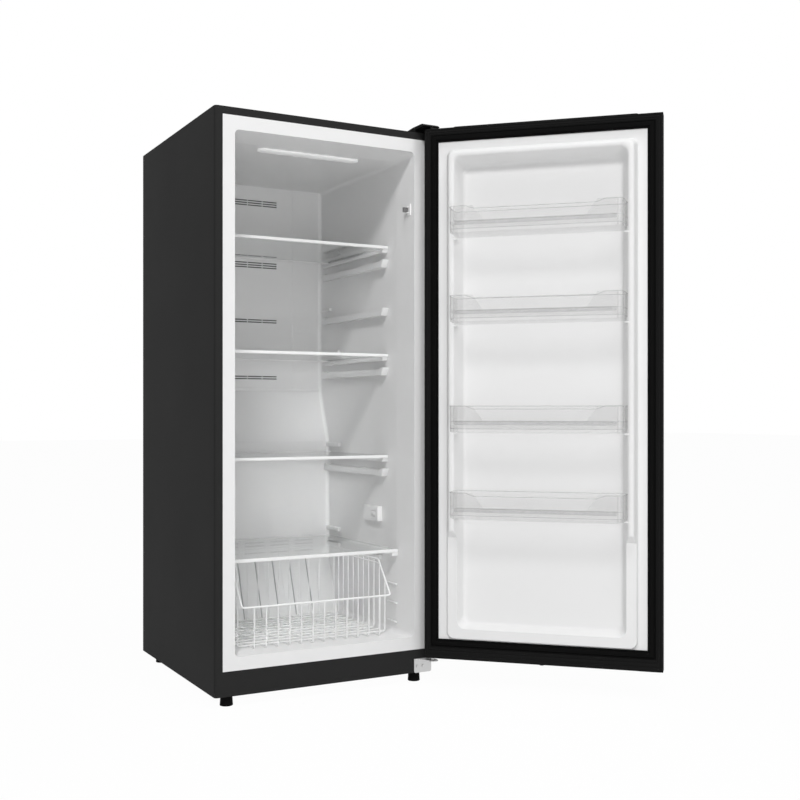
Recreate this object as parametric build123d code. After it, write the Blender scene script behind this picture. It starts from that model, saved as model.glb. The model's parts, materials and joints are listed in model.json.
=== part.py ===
from build123d import *
import os
from math import hypot

# Upright single-door freezer, standing on four feet with its door open.
# Millimetres. +Z is up and -Y is the front. The origin lies on the floor under the middle of
# the cabinet. Heights named *_z are above the floor, depths named *_depth are behind the front.

# ---- Driving dimensions: cabinet ----
cabinet_width = 706.0
cabinet_depth = 724.0
cabinet_height = 1675.0
foot_height = 30.0
sheet = 1.0
side_lip = 23.5
top_lip = 22.5
lip_radius = 10.0
kick_height = 72.0
fit_gap = 0.3

# ---- Driving dimensions: food space ----
opening_side_margin = 60.0
opening_top_margin = 62.0
food_floor_height = 111.0
opening_radius = 13.0
liner_wall = 2.0
band_depth = 104.0
band_inset = 6.5
band_drop = 12.0
cavity_back_wall = 42.0
cavity_inset = 13.0
cavity_drop = 15.0
duct_room = 83.0
hump_lean = 68.0
hump_height = 183.0
hump_rib_pitch = 63.0
hump_groove = 5.0
hump_rib_rise = 4.0
hump_rib_step = 1.2
hump_rib_step_share = 0.45

# ---- Driving dimensions: base and machine compartment ----
floor_foam = 63.0
machine_depth = 155.0
machine_foam = 35.0
rail_width = 70.0
rail_plate = 3.0
pan_wall = 1.5
plate_thickness = 2.0

# ---- Driving dimensions: shelves and wall runners ----
shelf_heights = (1340.0, 993.0, 668.0, 372.0)
shelf_front_depths = (155.0, 155.0, 155.0, 92.0)
shelf_back_gap = 9.0
shelf_glass = 5.0
shelf_trim_height = 8.0
shelf_trim_depth = 12.0
shelf_side_gap = 1.5
ledge_thickness = 12.0
ledge_reach = 15.0
ledge_back_gap = 62.0
runner_front_depth = 153.0
runner_back_gap = 62.0
runner_drop = 42.0
runner_height = 25.0
runner_reach = 17.0
runner_nose_rise = 4.0
runner_nose_length = 22.0
spare_runner_height = 1143.0
lug_rise = 19.0
lug_height = 14.0
lug_length = 140.0
lug_back_gap = 42.0
lug_reach = 10.0
basket_guide_heights = (141.0, 201.0, 261.0)
basket_guide_depths = (98.0, 156.0)
basket_guide_half = 3.0
basket_guide_reach = 6.0

# ---- Driving dimensions: door ----
door_overhang = 4.0
door_thickness = 50.0
door_gap = 10.0
door_bottom = 53.0
door_top_rise = 2.0
door_skin_radius = 8.0
door_cap_height = 12.0
door_open_angle = 135.0
pivot_inset = 18.4
pivot_standoff = 34.0
pin_radius = 4.0
pin_gap = 0.05
bush_radius = 8.0
bush_length = 14.0
rim_width = 22.0
rim_bottom = 35.0
rim_top = 20.0
gasket_width = 24.0
gasket_height = 9.7
gasket_edge = 20.0
gasket_bottom_edge = 37.5
dyke_edge = 71.4
dyke_bottom_edge = 63.0
dyke_top_edge = 70.0
dyke_height = 30.0
dyke_low_height = 10.0
dyke_step_height = 450.0
dyke_outer_slope = 9.6
dyke_crest = 16.0
recess_depth = 25.0
recess_slope = 20.0

# ---- Driving dimensions: door bins ----
bin_heights = (1334.5, 1071.7, 746.3, 491.0)
bin_wall = 2.5
bin_height = 80.0
bin_back = 15.0
bin_shoulder = 31.0
bin_front = 119.0
bin_back_half = 251.0
bin_shoulder_half = 259.0
bin_front_half = 253.5
bin_pane_drop = 9.0
bin_end_frame = 75.0
bin_slant = 25.0
bin_band_low = 14.0
bin_band_high = 33.0
bin_band_proud = 2.0
bin_lug_height = 12.0
bin_lug_reach = 20.0

# ---- Driving dimensions: basket ----
basket_half_width = 248.5
basket_front_depth = 68.0
basket_back_gap = 13.0
basket_front_height = 124.0
basket_back_height = 227.0
basket_shoulder_depth = 150.0
basket_wire = 2.0
basket_rail = 3.0
basket_pitch = 38.0
basket_rim_spacing = 12.0

# ---- Driving dimensions: feet ----
foot_side_inset = 45.0
foot_front_inset = 30.0
foot_back_inset = 65.0
foot_base_radius = 19.0
foot_top_radius = 17.0
stud_radius = 5.0
nut_radius = 9.0
nut_height = 8.0
stud_length = rail_plate + nut_height - 1.0

# ---- Places worked out from the driving dimensions ----
half_width = cabinet_width / 2
front_y = -cabinet_depth / 2
back_y = cabinet_depth / 2
base_z = foot_height
top_z = base_z + cabinet_height
inner_half = half_width - sheet
inner_front_y = front_y + sheet
inner_back_y = back_y - sheet
frame_half = half_width - side_lip
frame_bottom_z = base_z + kick_height
frame_top_z = top_z - top_lip
opening_half = half_width - opening_side_margin
floor_z = base_z + food_floor_height
opening_top_z = top_z - opening_top_margin
pan_top_z = floor_z - liner_wall - floor_foam
hump_top_z = floor_z + hump_height
machine_y = inner_back_y - machine_depth
machine_top_z = hump_top_z - liner_wall - machine_foam
machine_floor_z = base_z + rail_plate + plate_thickness
cavity_depth = cabinet_depth - cavity_back_wall
cavity_back_y = front_y + cavity_depth
hump_head_depth = cavity_depth - duct_room
hump_foot_depth = hump_head_depth - hump_lean
shelf_back_depth = hump_head_depth - shelf_back_gap
ledge_back_depth = cavity_depth - ledge_back_gap
runner_back_depth = cavity_depth - runner_back_gap
lug_back_depth = cavity_depth - lug_back_gap
lug_front_depth = lug_back_depth - lug_length
basket_back_depth = hump_foot_depth - basket_back_gap

# The door is drawn closed and then swung open about its pivot.
door_width = cabinet_width + 2 * door_overhang
door_height = cabinet_height + door_top_rise - door_bottom
pivot_x = half_width + door_overhang - pivot_inset
pivot_y = front_y - pivot_standoff
hinge_edge_x = pivot_x + pivot_inset
door_inner_y = front_y - door_gap
door_bottom_z = base_z + door_bottom
door_top_z = door_bottom_z + door_height
above_all_z = 2 * door_top_z

os.makedirs("parts", exist_ok=True)


# ---- Drawing helpers ----
def block(x_range, y_range, z_range):
    """Box between two values on each axis."""
    (x0, x1), (y0, y1), (z0, z1) = x_range, y_range, z_range
    return Pos((x0 + x1) / 2, (y0 + y1) / 2, (z0 + z1) / 2) * Box(x1 - x0, y1 - y0, z1 - z0)


def prism_x(points, x0, x1):
    """Prism along X over an outline of (y, z) points."""
    plane = Plane(origin=(x0, 0, 0), x_dir=(0, 1, 0), z_dir=(1, 0, 0))
    return extrude(plane * make_face(Polyline(*points, close=True)), x1 - x0)


def prism_y(points, y0, y1):
    """Prism along Y over an outline of (x, z) points."""
    plane = Plane(origin=(0, y1, 0), x_dir=(1, 0, 0), z_dir=(0, -1, 0))
    return extrude(plane * make_face(Polyline(*points, close=True)), y1 - y0)


def prism_z(points, z0, z1):
    """Prism along Z over an outline of (x, y) points."""
    return extrude(Plane.XY.offset(z0) * make_face(Polyline(*points, close=True)), z1 - z0)


def rod(start, end, radius):
    """Round bar between two points."""
    start, end = Vector(*start), Vector(*end)
    return Solid.make_cylinder(radius, (end - start).length, Plane(origin=start, z_dir=end - start))


def mirrored(part):
    """The same part on the other side of the middle plane."""
    return mirror(part, about=Plane.YZ)


def save(name, *shapes):
    """Write a node: every solid in it keeps its own body."""
    solids = [solid for shape in shapes for solid in shape.solids()]
    export_step(solids[0] if len(solids) == 1 else Compound(solids), f"parts/{name}.step")


# ---- Food space ----
def wall_half(depth):
    """Half width of the food space at a depth behind the front."""
    if depth < band_depth:
        return opening_half - band_inset * depth / band_depth
    share = (depth - band_depth) / (cavity_depth - band_depth)
    return opening_half - band_inset - (cavity_inset - band_inset) * share


def ceiling_z(depth):
    """Ceiling height of the food space at a depth behind the front."""
    if depth < band_depth:
        return opening_top_z - band_drop * depth / band_depth
    share = (depth - band_depth) / (cavity_depth - band_depth)
    return opening_top_z - band_drop - (cavity_drop - band_drop) * share


def food_section(depth, grow, shift=0.0):
    """Rounded section of the food space, grown outward."""
    low, high = floor_z - grow, ceiling_z(depth) + grow
    plane = Plane(origin=(0, front_y + depth + shift, (low + high) / 2),
                  x_dir=(1, 0, 0), z_dir=(0, -1, 0))
    return plane * RectangleRounded(2 * (wall_half(depth) + grow), high - low, opening_radius + grow)


def hump(grow):
    """Rise in the floor over the machine compartment, drawn back by the growth of the space."""
    run, rise = hump_head_depth - hump_foot_depth, hump_height
    back = grow * hypot(run, rise) / rise
    low = floor_z - opening_radius
    foot_y = front_y + hump_foot_depth + back
    points = [
        (foot_y - run * opening_radius / rise, low),
        (foot_y + run * (hump_height - grow) / rise, hump_top_z - grow),
        (back_y, hump_top_z - grow),
        (back_y, low),
    ]
    return prism_x(points, -half_width, half_width)


def food_space(grow=0.0):
    """Space for food as a solid, grown outward into the walls."""
    sections = [food_section(0, grow), food_section(band_depth, grow),
                food_section(cavity_depth, grow, shift=grow)]
    return loft(sections, ruled=True) - hump(grow)


food_solid = food_space()


def on_wall(depth_range, z_range, reach):
    """Bar on the right wall of the food space, seated on the wall's slope."""
    inner = wall_half(depth_range[1]) - reach
    bar = block((inner, half_width), (front_y + depth_range[0], front_y + depth_range[1]), z_range)
    return bar & food_solid


# ---- Cabinet shell ----
def side_panel():
    """Right side sheet with a folded lip at front and back and a rounded front edge."""
    z_range = (base_z, top_z - sheet)
    outer = block((frame_half, half_width), (front_y, back_y), z_range)
    outer = fillet(outer.edges().filter_by(Axis.Z).group_by(Axis.Y)[0].sort_by(Axis.X)[-1],
                   lip_radius)
    inner = block((frame_half - sheet, inner_half), (inner_front_y, inner_back_y), z_range)
    inner = fillet(inner.edges().filter_by(Axis.Z).group_by(Axis.Y)[0].sort_by(Axis.X)[-1],
                   lip_radius - sheet)
    return outer - inner


def top_panel():
    """Top sheet with a lip that hangs down between the side panels at front and back."""
    top = block((-half_width, half_width), (front_y, back_y), (top_z - sheet, top_z))
    top = fillet(top.edges().filter_by(Axis.Z).group_by(Axis.Y)[0], lip_radius)
    front = block((-frame_half, frame_half), (front_y, inner_front_y), (frame_top_z, top_z - sheet))
    back = block((-frame_half, frame_half), (inner_back_y, back_y), (frame_top_z, top_z - sheet))
    return top + front + back


right_panel = side_panel()
save("right_side_panel", right_panel)
save("left_side_panel", mirrored(right_panel))
save("top_panel", top_panel())
save("back_panel", block((-frame_half, frame_half), (inner_back_y, back_y),
                         (machine_top_z, frame_top_z)))
save("face_frame", block((-frame_half, frame_half), (front_y, inner_front_y),
                         (frame_bottom_z, frame_top_z)) - food_solid)


def kick_plate():
    """Front plate below the opening, with a fold along its foot."""
    plate = block((-frame_half, frame_half), (front_y, inner_front_y), (base_z, frame_bottom_z))
    return fillet(plate.edges().filter_by(Axis.X).group_by(Axis.Z)[0].sort_by(Axis.Y)[0], sheet / 2)


save("kick_plate", kick_plate())


def hump_rib(x0, x1, proud):
    """Upright rib on the sloped front of the hump."""
    foot_y, head_y = front_y + hump_foot_depth, front_y + hump_head_depth
    return prism_x([(foot_y, floor_z), (head_y, hump_top_z), (head_y - proud, hump_top_z),
                    (foot_y - proud, floor_z)], x0, x1)


def liner():
    """Thin moulded tub that lines the food space, with ribs on the hump."""
    shell = food_space(liner_wall) - food_solid
    shell -= block((-half_width, half_width), (front_y - sheet, inner_front_y), (0, top_z))
    rib_width = hump_rib_pitch - hump_groove
    count = int(wall_half(hump_foot_depth) / hump_rib_pitch)
    for index in range(-count, count):
        x = index * hump_rib_pitch + hump_groove / 2
        step_x = x + rib_width * hump_rib_step_share
        shell += hump_rib(x, step_x, hump_rib_rise)
        shell += hump_rib(step_x, x + rib_width, hump_rib_rise + hump_rib_step)
    return shell


save("liner", liner())


def cabinet_insulation():
    """Foam walls, each a convex block, between the outer sheets and the liner."""
    foam_back_y = cavity_back_y + liner_wall
    side_plan = [
        (inner_half, inner_front_y + lip_radius),
        (inner_half - lip_radius, inner_front_y),
        (wall_half(0) + liner_wall, inner_front_y),
        (wall_half(band_depth) + liner_wall, front_y + band_depth),
        (wall_half(cavity_depth) + liner_wall, foam_back_y),
        (wall_half(cavity_depth) + liner_wall, inner_back_y),
        (inner_half, inner_back_y),
    ]
    upper = prism_z(side_plan, machine_top_z, ceiling_z(cavity_depth))
    lower = prism_z(side_plan, floor_z - liner_wall, machine_top_z)
    lower -= block((0, half_width), (machine_y, back_y), (0, top_z))
    roof_outline = [
        (inner_front_y, top_z - sheet),
        (inner_front_y, opening_top_z + liner_wall),
        (front_y + band_depth, ceiling_z(band_depth) + liner_wall),
        (foam_back_y, ceiling_z(cavity_depth) + liner_wall),
        (inner_back_y, ceiling_z(cavity_depth) + liner_wall),
        (inner_back_y, top_z - sheet),
    ]
    roof_half = inner_half - lip_radius
    roof = prism_x(roof_outline, -roof_half, roof_half)
    across = (-(wall_half(cavity_depth) + liner_wall), wall_half(cavity_depth) + liner_wall)
    back = block(across, (foam_back_y, inner_back_y), (machine_top_z, ceiling_z(cavity_depth)))
    slab = block((-roof_half, roof_half), (inner_front_y, machine_y),
                 (pan_top_z, floor_z - liner_wall))
    rise = block(across, (front_y, inner_back_y), (floor_z - liner_wall, hump_top_z - liner_wall))
    rise &= hump(liner_wall)
    front_rise = rise - block(across, (machine_y, back_y), (0, top_z))
    top_rise = rise - block(across, (front_y, machine_y), (0, top_z))
    top_rise -= block(across, (machine_y, back_y), (0, machine_top_z))
    top_rise -= back
    return [upper, mirrored(upper), lower, mirrored(lower), roof, back, slab, front_rise, top_rise]


save("cabinet_insulation", *cabinet_insulation())


# ---- Base ----
def foot_places(inset_y):
    """Centres of a left and right pair of feet at one end of the base."""
    x = half_width - foot_side_inset
    return [(-x, inset_y), (x, inset_y)]


front_foot_y = front_y + foot_front_inset
rear_foot_y = back_y - foot_back_inset


def base_pan():
    """Pressed tray under the foam, two rails with weld nuts, and the compressor's plate."""
    tray = block((-inner_half, inner_half), (inner_front_y, machine_y), (base_z, pan_top_z))
    tray -= block((-inner_half + pan_wall, inner_half - pan_wall),
                  (inner_front_y + pan_wall, machine_y - pan_wall), (0, pan_top_z - pan_wall))
    for side in (-1, 1):
        inner_x = side * (inner_half - rail_width)
        tray += block(sorted((inner_x, side * inner_half)), (inner_front_y, inner_back_y),
                      (base_z, base_z + rail_plate))
    tray += block((-inner_half, inner_half), (machine_y - pan_wall, inner_back_y),
                  (base_z + rail_plate, machine_floor_z))
    for x, y in foot_places(front_foot_y) + foot_places(rear_foot_y):
        tray += rod((x, y, base_z), (x, y, base_z + rail_plate + nut_height), nut_radius)
        tray -= rod((x, y, 0), (x, y, pan_top_z - pan_wall), stud_radius + pin_gap)
    outline = block((-inner_half, inner_half), (inner_front_y, inner_back_y), (base_z, pan_top_z))
    corners = outline.edges().filter_by(Axis.Z).group_by(Axis.Y)[0]
    return tray & fillet(corners, lip_radius - sheet)


save("base_pan", base_pan())


def foot(x, y, top):
    """Tapered foot with a flat sole and a threaded stud."""
    sole = Pos(x, y, top / 2) * Cone(foot_base_radius, foot_top_radius, top)
    sole = fillet(sole.edges().group_by(Axis.Z)[0], 1.5)
    return sole + rod((x, y, top - 1), (x, y, top + stud_length), stud_radius)


(left_x, _), (right_x, _) = foot_places(front_foot_y)
save("front_foot_left", foot(left_x, front_foot_y, base_z - fit_gap))
save("front_foot_right", foot(right_x, front_foot_y, base_z - fit_gap))
save("rear_feet", *[foot(x, y, base_z) for x, y in foot_places(rear_foot_y)])


# ---- Air system behind the food space ----
duct_back_gap = 17.0
duct_bottom_height = 883.0
duct_wall = 3.0
duct_groove_half = 161.5
duct_groove_width = 15.0
duct_groove_depth = 1.5
vent_width = 220.0
vent_rows = ((1540.0, 3), (1323.0, 3), (1127.0, 2), (928.5, 2))
vent_slot = 4.0
vent_pitch = 8.0
cover_straight_height = 705.0
grille_height = 335.0
grille_rows = 4
grille_groups = 5
grille_span = 441.0
grille_group_width = 70.0
grille_slot = 5.0
grille_pitch = 12.0
ledge_strip_height = 366.0
duct_face_depth = cavity_depth - duct_back_gap
duct_y = front_y + duct_face_depth
cover_y = front_y + hump_head_depth
duct_bottom_z = base_z + duct_bottom_height


def duct_cover():
    """Upper back cover with four louvred outlets and two shallow upright channels."""
    cover = block((-half_width, half_width), (duct_y, duct_y + duct_wall), (duct_bottom_z, top_z))
    cover &= food_solid
    for side in (-1, 1):
        x = side * duct_groove_half
        cover -= block((x - duct_groove_width / 2, x + duct_groove_width / 2),
                       (duct_y - 1, duct_y + duct_groove_depth), (duct_bottom_z, top_z))
    for height, rows in vent_rows:
        for row in range(rows):
            z = base_z + height + (row - (rows - 1) / 2) * vent_pitch
            cover -= block((-vent_width / 2, vent_width / 2), (duct_y - 1, duct_y + duct_wall + 1),
                           (z - vent_slot / 2, z + vent_slot / 2))
    return cover


def evaporator_cover():
    """Lower back cover: upright, then sloping back to the duct, with the return grille."""
    straight_z = base_z + cover_straight_height
    front = [(cover_y, hump_top_z), (cover_y, straight_z), (duct_y, duct_bottom_z)]
    behind = [(y + duct_wall, z) for y, z in reversed(front)]
    cover = prism_x(front + behind, -half_width, half_width) & food_solid
    strip_z = base_z + ledge_strip_height
    cover += block((-grille_span / 2, grille_span / 2), (cover_y - 3, cover_y),
                   (strip_z, strip_z + 4))
    spacing = (grille_span - grille_group_width) / (grille_groups - 1)
    for group in range(grille_groups):
        x = (group - (grille_groups - 1) / 2) * spacing
        for row in range(grille_rows):
            z = base_z + grille_height + (row - (grille_rows - 1) / 2) * grille_pitch
            cover -= block((x - grille_group_width / 2, x + grille_group_width / 2),
                           (cover_y - 4, cover_y + duct_wall + 1),
                           (z - grille_slot / 2, z + grille_slot / 2))
    return cover


save("duct_cover", duct_cover())
save("evaporator_cover", evaporator_cover())

evaporator_half = 215.0
evaporator_front_gap = 6.0
evaporator_back_gap = 4.0
evaporator_front_y = cover_y + duct_wall + evaporator_front_gap
evaporator_back_y = cavity_back_y - evaporator_back_gap
evaporator_bottom_z = hump_top_z
evaporator_height = 270.0
evaporator_tubes = 6
tube_radius = 4.0
tube_inset = 15.0


def evaporator():
    """Finned block that stands on the hump, with return bends at both ends."""
    top = evaporator_bottom_z + evaporator_height
    core = block((-evaporator_half, evaporator_half), (evaporator_front_y, evaporator_back_y),
                 (evaporator_bottom_z, top))
    y0, y1 = evaporator_front_y + tube_inset, evaporator_back_y - tube_inset
    pitch = evaporator_height / evaporator_tubes
    for row in range(evaporator_tubes):
        z = evaporator_bottom_z + pitch * (row + 0.5)
        for side in (-1, 1):
            end_x = side * (evaporator_half + 14)
            for y in (y0, y1):
                core += rod((side * (evaporator_half - 5), y, z), (end_x, y, z), tube_radius)
            bend_x = end_x - side * tube_radius
            core += rod((bend_x, y0, z), (bend_x, y1, z), tube_radius - 0.5)
    return core


save("evaporator", evaporator())


def fan(radius, hub_radius, length, blades, bore):
    """Axial fan about Z from z = 0 to its length, bored for its shaft."""
    rotor = Solid.make_cylinder(hub_radius, length)
    for index in range(blades):
        blade = Pos((hub_radius + radius) / 2 - 1, 0, length / 2) * Rot(28, 0, 0) * Box(
            radius - hub_radius + 2, hub_radius * 1.9, 2)
        rotor += Rot(0, 0, 360 * index / blades) * blade
    rotor &= Pos(0, 0, length / 2) * Cylinder(radius, length)
    return rotor - Pos(0, 0, length / 2) * Cylinder(bore, 2 * length)


shaft_radius = 2.5
evaporator_fan_z = base_z + 640.0
evaporator_fan_radius = 44.0
evaporator_fan_gap = 16.0
fan_hub = 14.0
fan_length = 18.0
fan_blades = 5
evaporator_fan_y = cover_y + evaporator_fan_gap
motor_radius = 20.0

rotor = fan(evaporator_fan_radius, fan_hub, fan_length, fan_blades, shaft_radius + pin_gap)
save("evaporator_fan", Pos(0, evaporator_fan_y + fan_length, evaporator_fan_z) * Rot(90, 0, 0) * rotor)
motor_y = evaporator_fan_y + fan_length + 2
save("evaporator_fan_motor",
     rod((0, motor_y, evaporator_fan_z), (0, cavity_back_y, evaporator_fan_z), motor_radius)
     + rod((0, evaporator_fan_y, evaporator_fan_z), (0, motor_y + 1, evaporator_fan_z),
           shaft_radius))


# ---- Wall runners and lugs ----
def cover_depth(height):
    """Depth of the back covers behind the front at a height above the cabinet's base."""
    share = (height - cover_straight_height) / (duct_bottom_height - cover_straight_height)
    share = min(max(share, 0.0), 1.0)
    return hump_head_depth + share * (duct_face_depth - hump_head_depth)


def wall_runners():
    """Ledges under the shelves, basket runners and anti-tip lugs of the right wall."""
    parts = []
    for height, front_depth in zip(shelf_heights, shelf_front_depths):
        z = base_z + height
        seat_z = z - shelf_trim_height
        limit = cover_depth(height - shelf_trim_height - ledge_thickness)
        parts.append(on_wall((front_depth + 2, min(ledge_back_depth, limit)),
                             (seat_z - ledge_thickness, seat_z), ledge_reach))
        parts.append(on_wall((lug_front_depth, min(lug_back_depth, limit)),
                             (z + lug_rise, z + lug_rise + lug_height), lug_reach))
    runner_tops = [height - runner_drop for height in shelf_heights[:3]] + [spare_runner_height]
    for height in runner_tops:
        z = base_z + height
        back_depth = min(runner_back_depth, cover_depth(height - runner_height))
        bar = on_wall((runner_front_depth, back_depth), (z - runner_height, z - runner_nose_rise),
                      runner_reach)
        for start in (runner_front_depth, back_depth - runner_nose_length):
            reach = wall_half(start + runner_nose_length) - wall_half(back_depth) + runner_reach
            bar += on_wall((start, start + runner_nose_length), (z - runner_height / 2, z), reach)
        parts.append(bar)
    spare_z = base_z + spare_runner_height + 22
    parts.append(on_wall((570, lug_back_depth), (spare_z, spare_z + 12), lug_reach))
    basket_lug_z = base_z + 336
    parts.append(on_wall((200, 230), (basket_lug_z - 8, basket_lug_z + 8), lug_reach))
    for height in basket_guide_heights:
        z = base_z + height
        parts.append(on_wall(basket_guide_depths, (z - basket_guide_half, z + basket_guide_half),
                             basket_guide_reach))
    return parts


right_runners = wall_runners()
save("shelf_runners_right", *right_runners)
save("shelf_runners_left", *[mirrored(part) for part in right_runners])

lens_half = 167.5
lens_depth_range = (125.0, 185.0)
lens_drop = 5.0
lens_z = ceiling_z(lens_depth_range[1]) - lens_drop
save("led_lens", block((-lens_half, lens_half),
                       (front_y + lens_depth_range[0], front_y + lens_depth_range[1]),
                       (lens_z, top_z)) & food_solid)

# ---- Door switch ----
switch_top_gap = 237.0
switch_z = top_z - switch_top_gap
switch_depth = 32.0
switch_reach = 9.0
switch_half = 13.0
switch_lever_half = 7.0
switch_lever_reach = 21.0
switch_pin_radius = 1.5
switch_y = front_y + switch_depth
switch_barrel = 2.6
switch_plate = 2.0
switch_x = wall_half(switch_depth + switch_half) - switch_plate - switch_barrel - fit_gap


def switch_housing():
    """Socket on the right wall whose two cheeks carry the lever's pin."""
    plate = on_wall((switch_depth - switch_half, switch_depth + switch_half),
                    (switch_z - 18, switch_z + 18), switch_plate)
    for side in (-1, 1):
        near = switch_z + side * (switch_lever_half + fit_gap)
        plate += on_wall((switch_depth - 6, switch_depth + 6), sorted((near, near + side * 3)),
                         switch_reach)
    return plate - rod((switch_x, switch_y, switch_z - 20), (switch_x, switch_y, switch_z + 20),
                       switch_pin_radius + pin_gap)


def switch_lever():
    """Rocking lever with a rounded tip, on a pin along Z."""
    barrel = rod((switch_x, switch_y, switch_z - switch_lever_half),
                 (switch_x, switch_y, switch_z + switch_lever_half), switch_barrel)
    tip_x = wall_half(switch_depth) - switch_lever_reach
    arm = block((tip_x + 5, switch_x), (switch_y - 2.4, switch_y + 2.4),
                (switch_z - switch_lever_half, switch_z + switch_lever_half))
    tip = rod((tip_x + 5, switch_y, switch_z - switch_lever_half),
              (tip_x + 5, switch_y, switch_z + switch_lever_half), 5)
    pin = rod((switch_x, switch_y, switch_z - switch_lever_half - 3),
              (switch_x, switch_y, switch_z + switch_lever_half + 3), switch_pin_radius)
    return barrel + arm + tip + pin


save("switch_housing", switch_housing())
save("switch_lever", switch_lever())

# ---- Thermostat ----
thermostat_depths = (201.0, 301.0)
thermostat_height = 477.0
thermostat_half_height = 24.0
thermostat_reach = 15.0
wheel_depth = 230.5
wheel_half_length = 12.5
wheel_radius = 9.0
wheel_show = 3.0
wheel_ribs = 20
thermostat_z = base_z + thermostat_height
thermostat_face_x = wall_half(thermostat_depths[1]) - thermostat_reach
wheel_x = thermostat_face_x - wheel_show + wheel_radius
wheel_y = front_y + wheel_depth


def thermostat_box():
    """Control box on the right wall, with a slot and bearings for its thumb wheel."""
    box = on_wall(thermostat_depths, (thermostat_z - thermostat_half_height,
                                      thermostat_z + thermostat_half_height), thermostat_reach)
    box = fillet(box.edges().group_by(Axis.X)[0], 2.5)
    room = wheel_half_length + fit_gap
    box -= block((thermostat_face_x - 1, wheel_x + wheel_radius + 0.5), (wheel_y - room, wheel_y + room),
                 (thermostat_z - wheel_radius - 1.5, thermostat_z + wheel_radius + 1.5))
    return box - rod((wheel_x, wheel_y - room - 4, thermostat_z), (wheel_x, wheel_y + room + 4, thermostat_z),
                     shaft_radius + pin_gap)


def thermostat_wheel():
    """Ribbed thumb wheel about Y with a stub shaft at each end."""
    wheel = rod((wheel_x, wheel_y - wheel_half_length, thermostat_z),
                (wheel_x, wheel_y + wheel_half_length, thermostat_z), wheel_radius - 0.8)
    for index in range(wheel_ribs):
        turn = Pos(wheel_x, 0, thermostat_z) * Rot(0, 360 * index / wheel_ribs, 0)
        wheel += turn * block((wheel_radius - 1.5, wheel_radius),
                              (wheel_y - wheel_half_length, wheel_y + wheel_half_length), (-0.7, 0.7))
    return wheel + rod((wheel_x, wheel_y - wheel_half_length - 3.5, thermostat_z),
                       (wheel_x, wheel_y + wheel_half_length + 3.5, thermostat_z), shaft_radius)


save("thermostat_box", thermostat_box())
save("thermostat_wheel", thermostat_wheel())


# ---- Shelves ----
def shelf_half(depth):
    """Half width of a shelf at a depth behind the front."""
    return wall_half(depth) - shelf_side_gap


def shelf_plan(front_depth, back_depth, inset=0.0):
    """Plan of a shelf between two depths, with sides that follow the walls."""
    front, back = shelf_half(front_depth) - inset, shelf_half(back_depth) - inset
    return [(-front, front_y + front_depth), (front, front_y + front_depth),
            (back, front_y + back_depth), (-back, front_y + back_depth)]


def shelf_trim(front_depth, z):
    """Front and rear trims that grip the glass and rest on the ledges."""
    low = z - shelf_trim_height + fit_gap
    trims = []
    for start in (front_depth, shelf_back_depth - shelf_trim_depth):
        bar = prism_z(shelf_plan(start, start + shelf_trim_depth), low, z + 1.5)
        bar = fillet(bar.edges().filter_by(Axis.X), 1.5)
        trims.append(bar)
    glass = shelf_glass_plate(front_depth, z)
    return [bar - glass for bar in trims]


def shelf_glass_plate(front_depth, z):
    """Clear plate between the trims."""
    return prism_z(shelf_plan(front_depth + 3, shelf_back_depth - 3), z - shelf_glass, z)


for number, (height, front_depth) in enumerate(zip(shelf_heights, shelf_front_depths), start=1):
    save(f"shelf_{number}_glass", shelf_glass_plate(front_depth, base_z + height))
    save(f"shelf_{number}_trim", *shelf_trim(front_depth, base_z + height))


# ---- Basket ----
def spaced(start, stop, pitch):
    """Evenly spaced values between two ends, near a wanted pitch."""
    count = max(1, round((stop - start) / pitch))
    return [start + (stop - start) * index / count for index in range(count + 1)]


def basket_top_z(y):
    """Height of the basket's side rim, which slopes down to the front rail."""
    low = floor_z + basket_front_height
    high = floor_z + basket_back_height
    front, shoulder = front_y + basket_front_depth, front_y + basket_shoulder_depth
    return high if y >= shoulder else low + (high - low) * (y - front) / (shoulder - front)


def basket():
    """Welded wire basket: rails of thick wire, uprights and a floor grid of thin wire."""
    half = basket_half_width - basket_rail
    front, back = front_y + basket_front_depth, front_y + basket_back_depth
    shoulder = front_y + basket_shoulder_depth
    grid_z = floor_z + fit_gap + basket_wire
    weld = 0.5
    cross_z = grid_z + 2 * basket_wire - weld
    front_top, back_top = basket_top_z(front), basket_top_z(back)
    wires = [rod((-half, front, front_top), (half, front, front_top), basket_rail),
             rod((-half, back, back_top), (half, back, back_top), basket_rail)]
    for side in (-1, 1):
        x = side * half
        wires.append(rod((x, shoulder, back_top), (x, back, back_top), basket_rail))
        wires.append(rod((x, front, front_top), (x, shoulder, back_top), basket_rail))
        lower = back_top - basket_rim_spacing
        wires.append(rod((x, shoulder, lower), (x, back, lower), basket_wire))
        for y in spaced(front, back, basket_pitch):
            wires.append(rod((x, y, cross_z), (x, y, basket_top_z(y)), basket_wire))
    for x in spaced(-half, half, basket_pitch):
        wires.append(rod((x, front, grid_z), (x, back, grid_z), basket_wire))
        wires.append(rod((x, front, grid_z), (x, front, front_top), basket_wire))
        wires.append(rod((x, back, grid_z), (x, back, back_top), basket_wire))
    for y in spaced(front, back, basket_pitch):
        wires.append(rod((-half, y, cross_z), (half, y, cross_z), basket_wire))
    return wires


save("basket", *basket())

# ---- Machine compartment ----
compressor_x = 190.0
compressor_radius = 66.0
compressor_height = 165.0
compressor_feet_rise = 12.0
condenser_range = (-215.0, -95.0)
condenser_wall = 12.0
condenser_top_z = machine_floor_z + 210.0
condenser_fan_radius = 62.0
condenser_fan_x = -60.0
machine_mid_y = (machine_y + inner_back_y) / 2
machine_mid_z = machine_floor_z + 115.0


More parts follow.
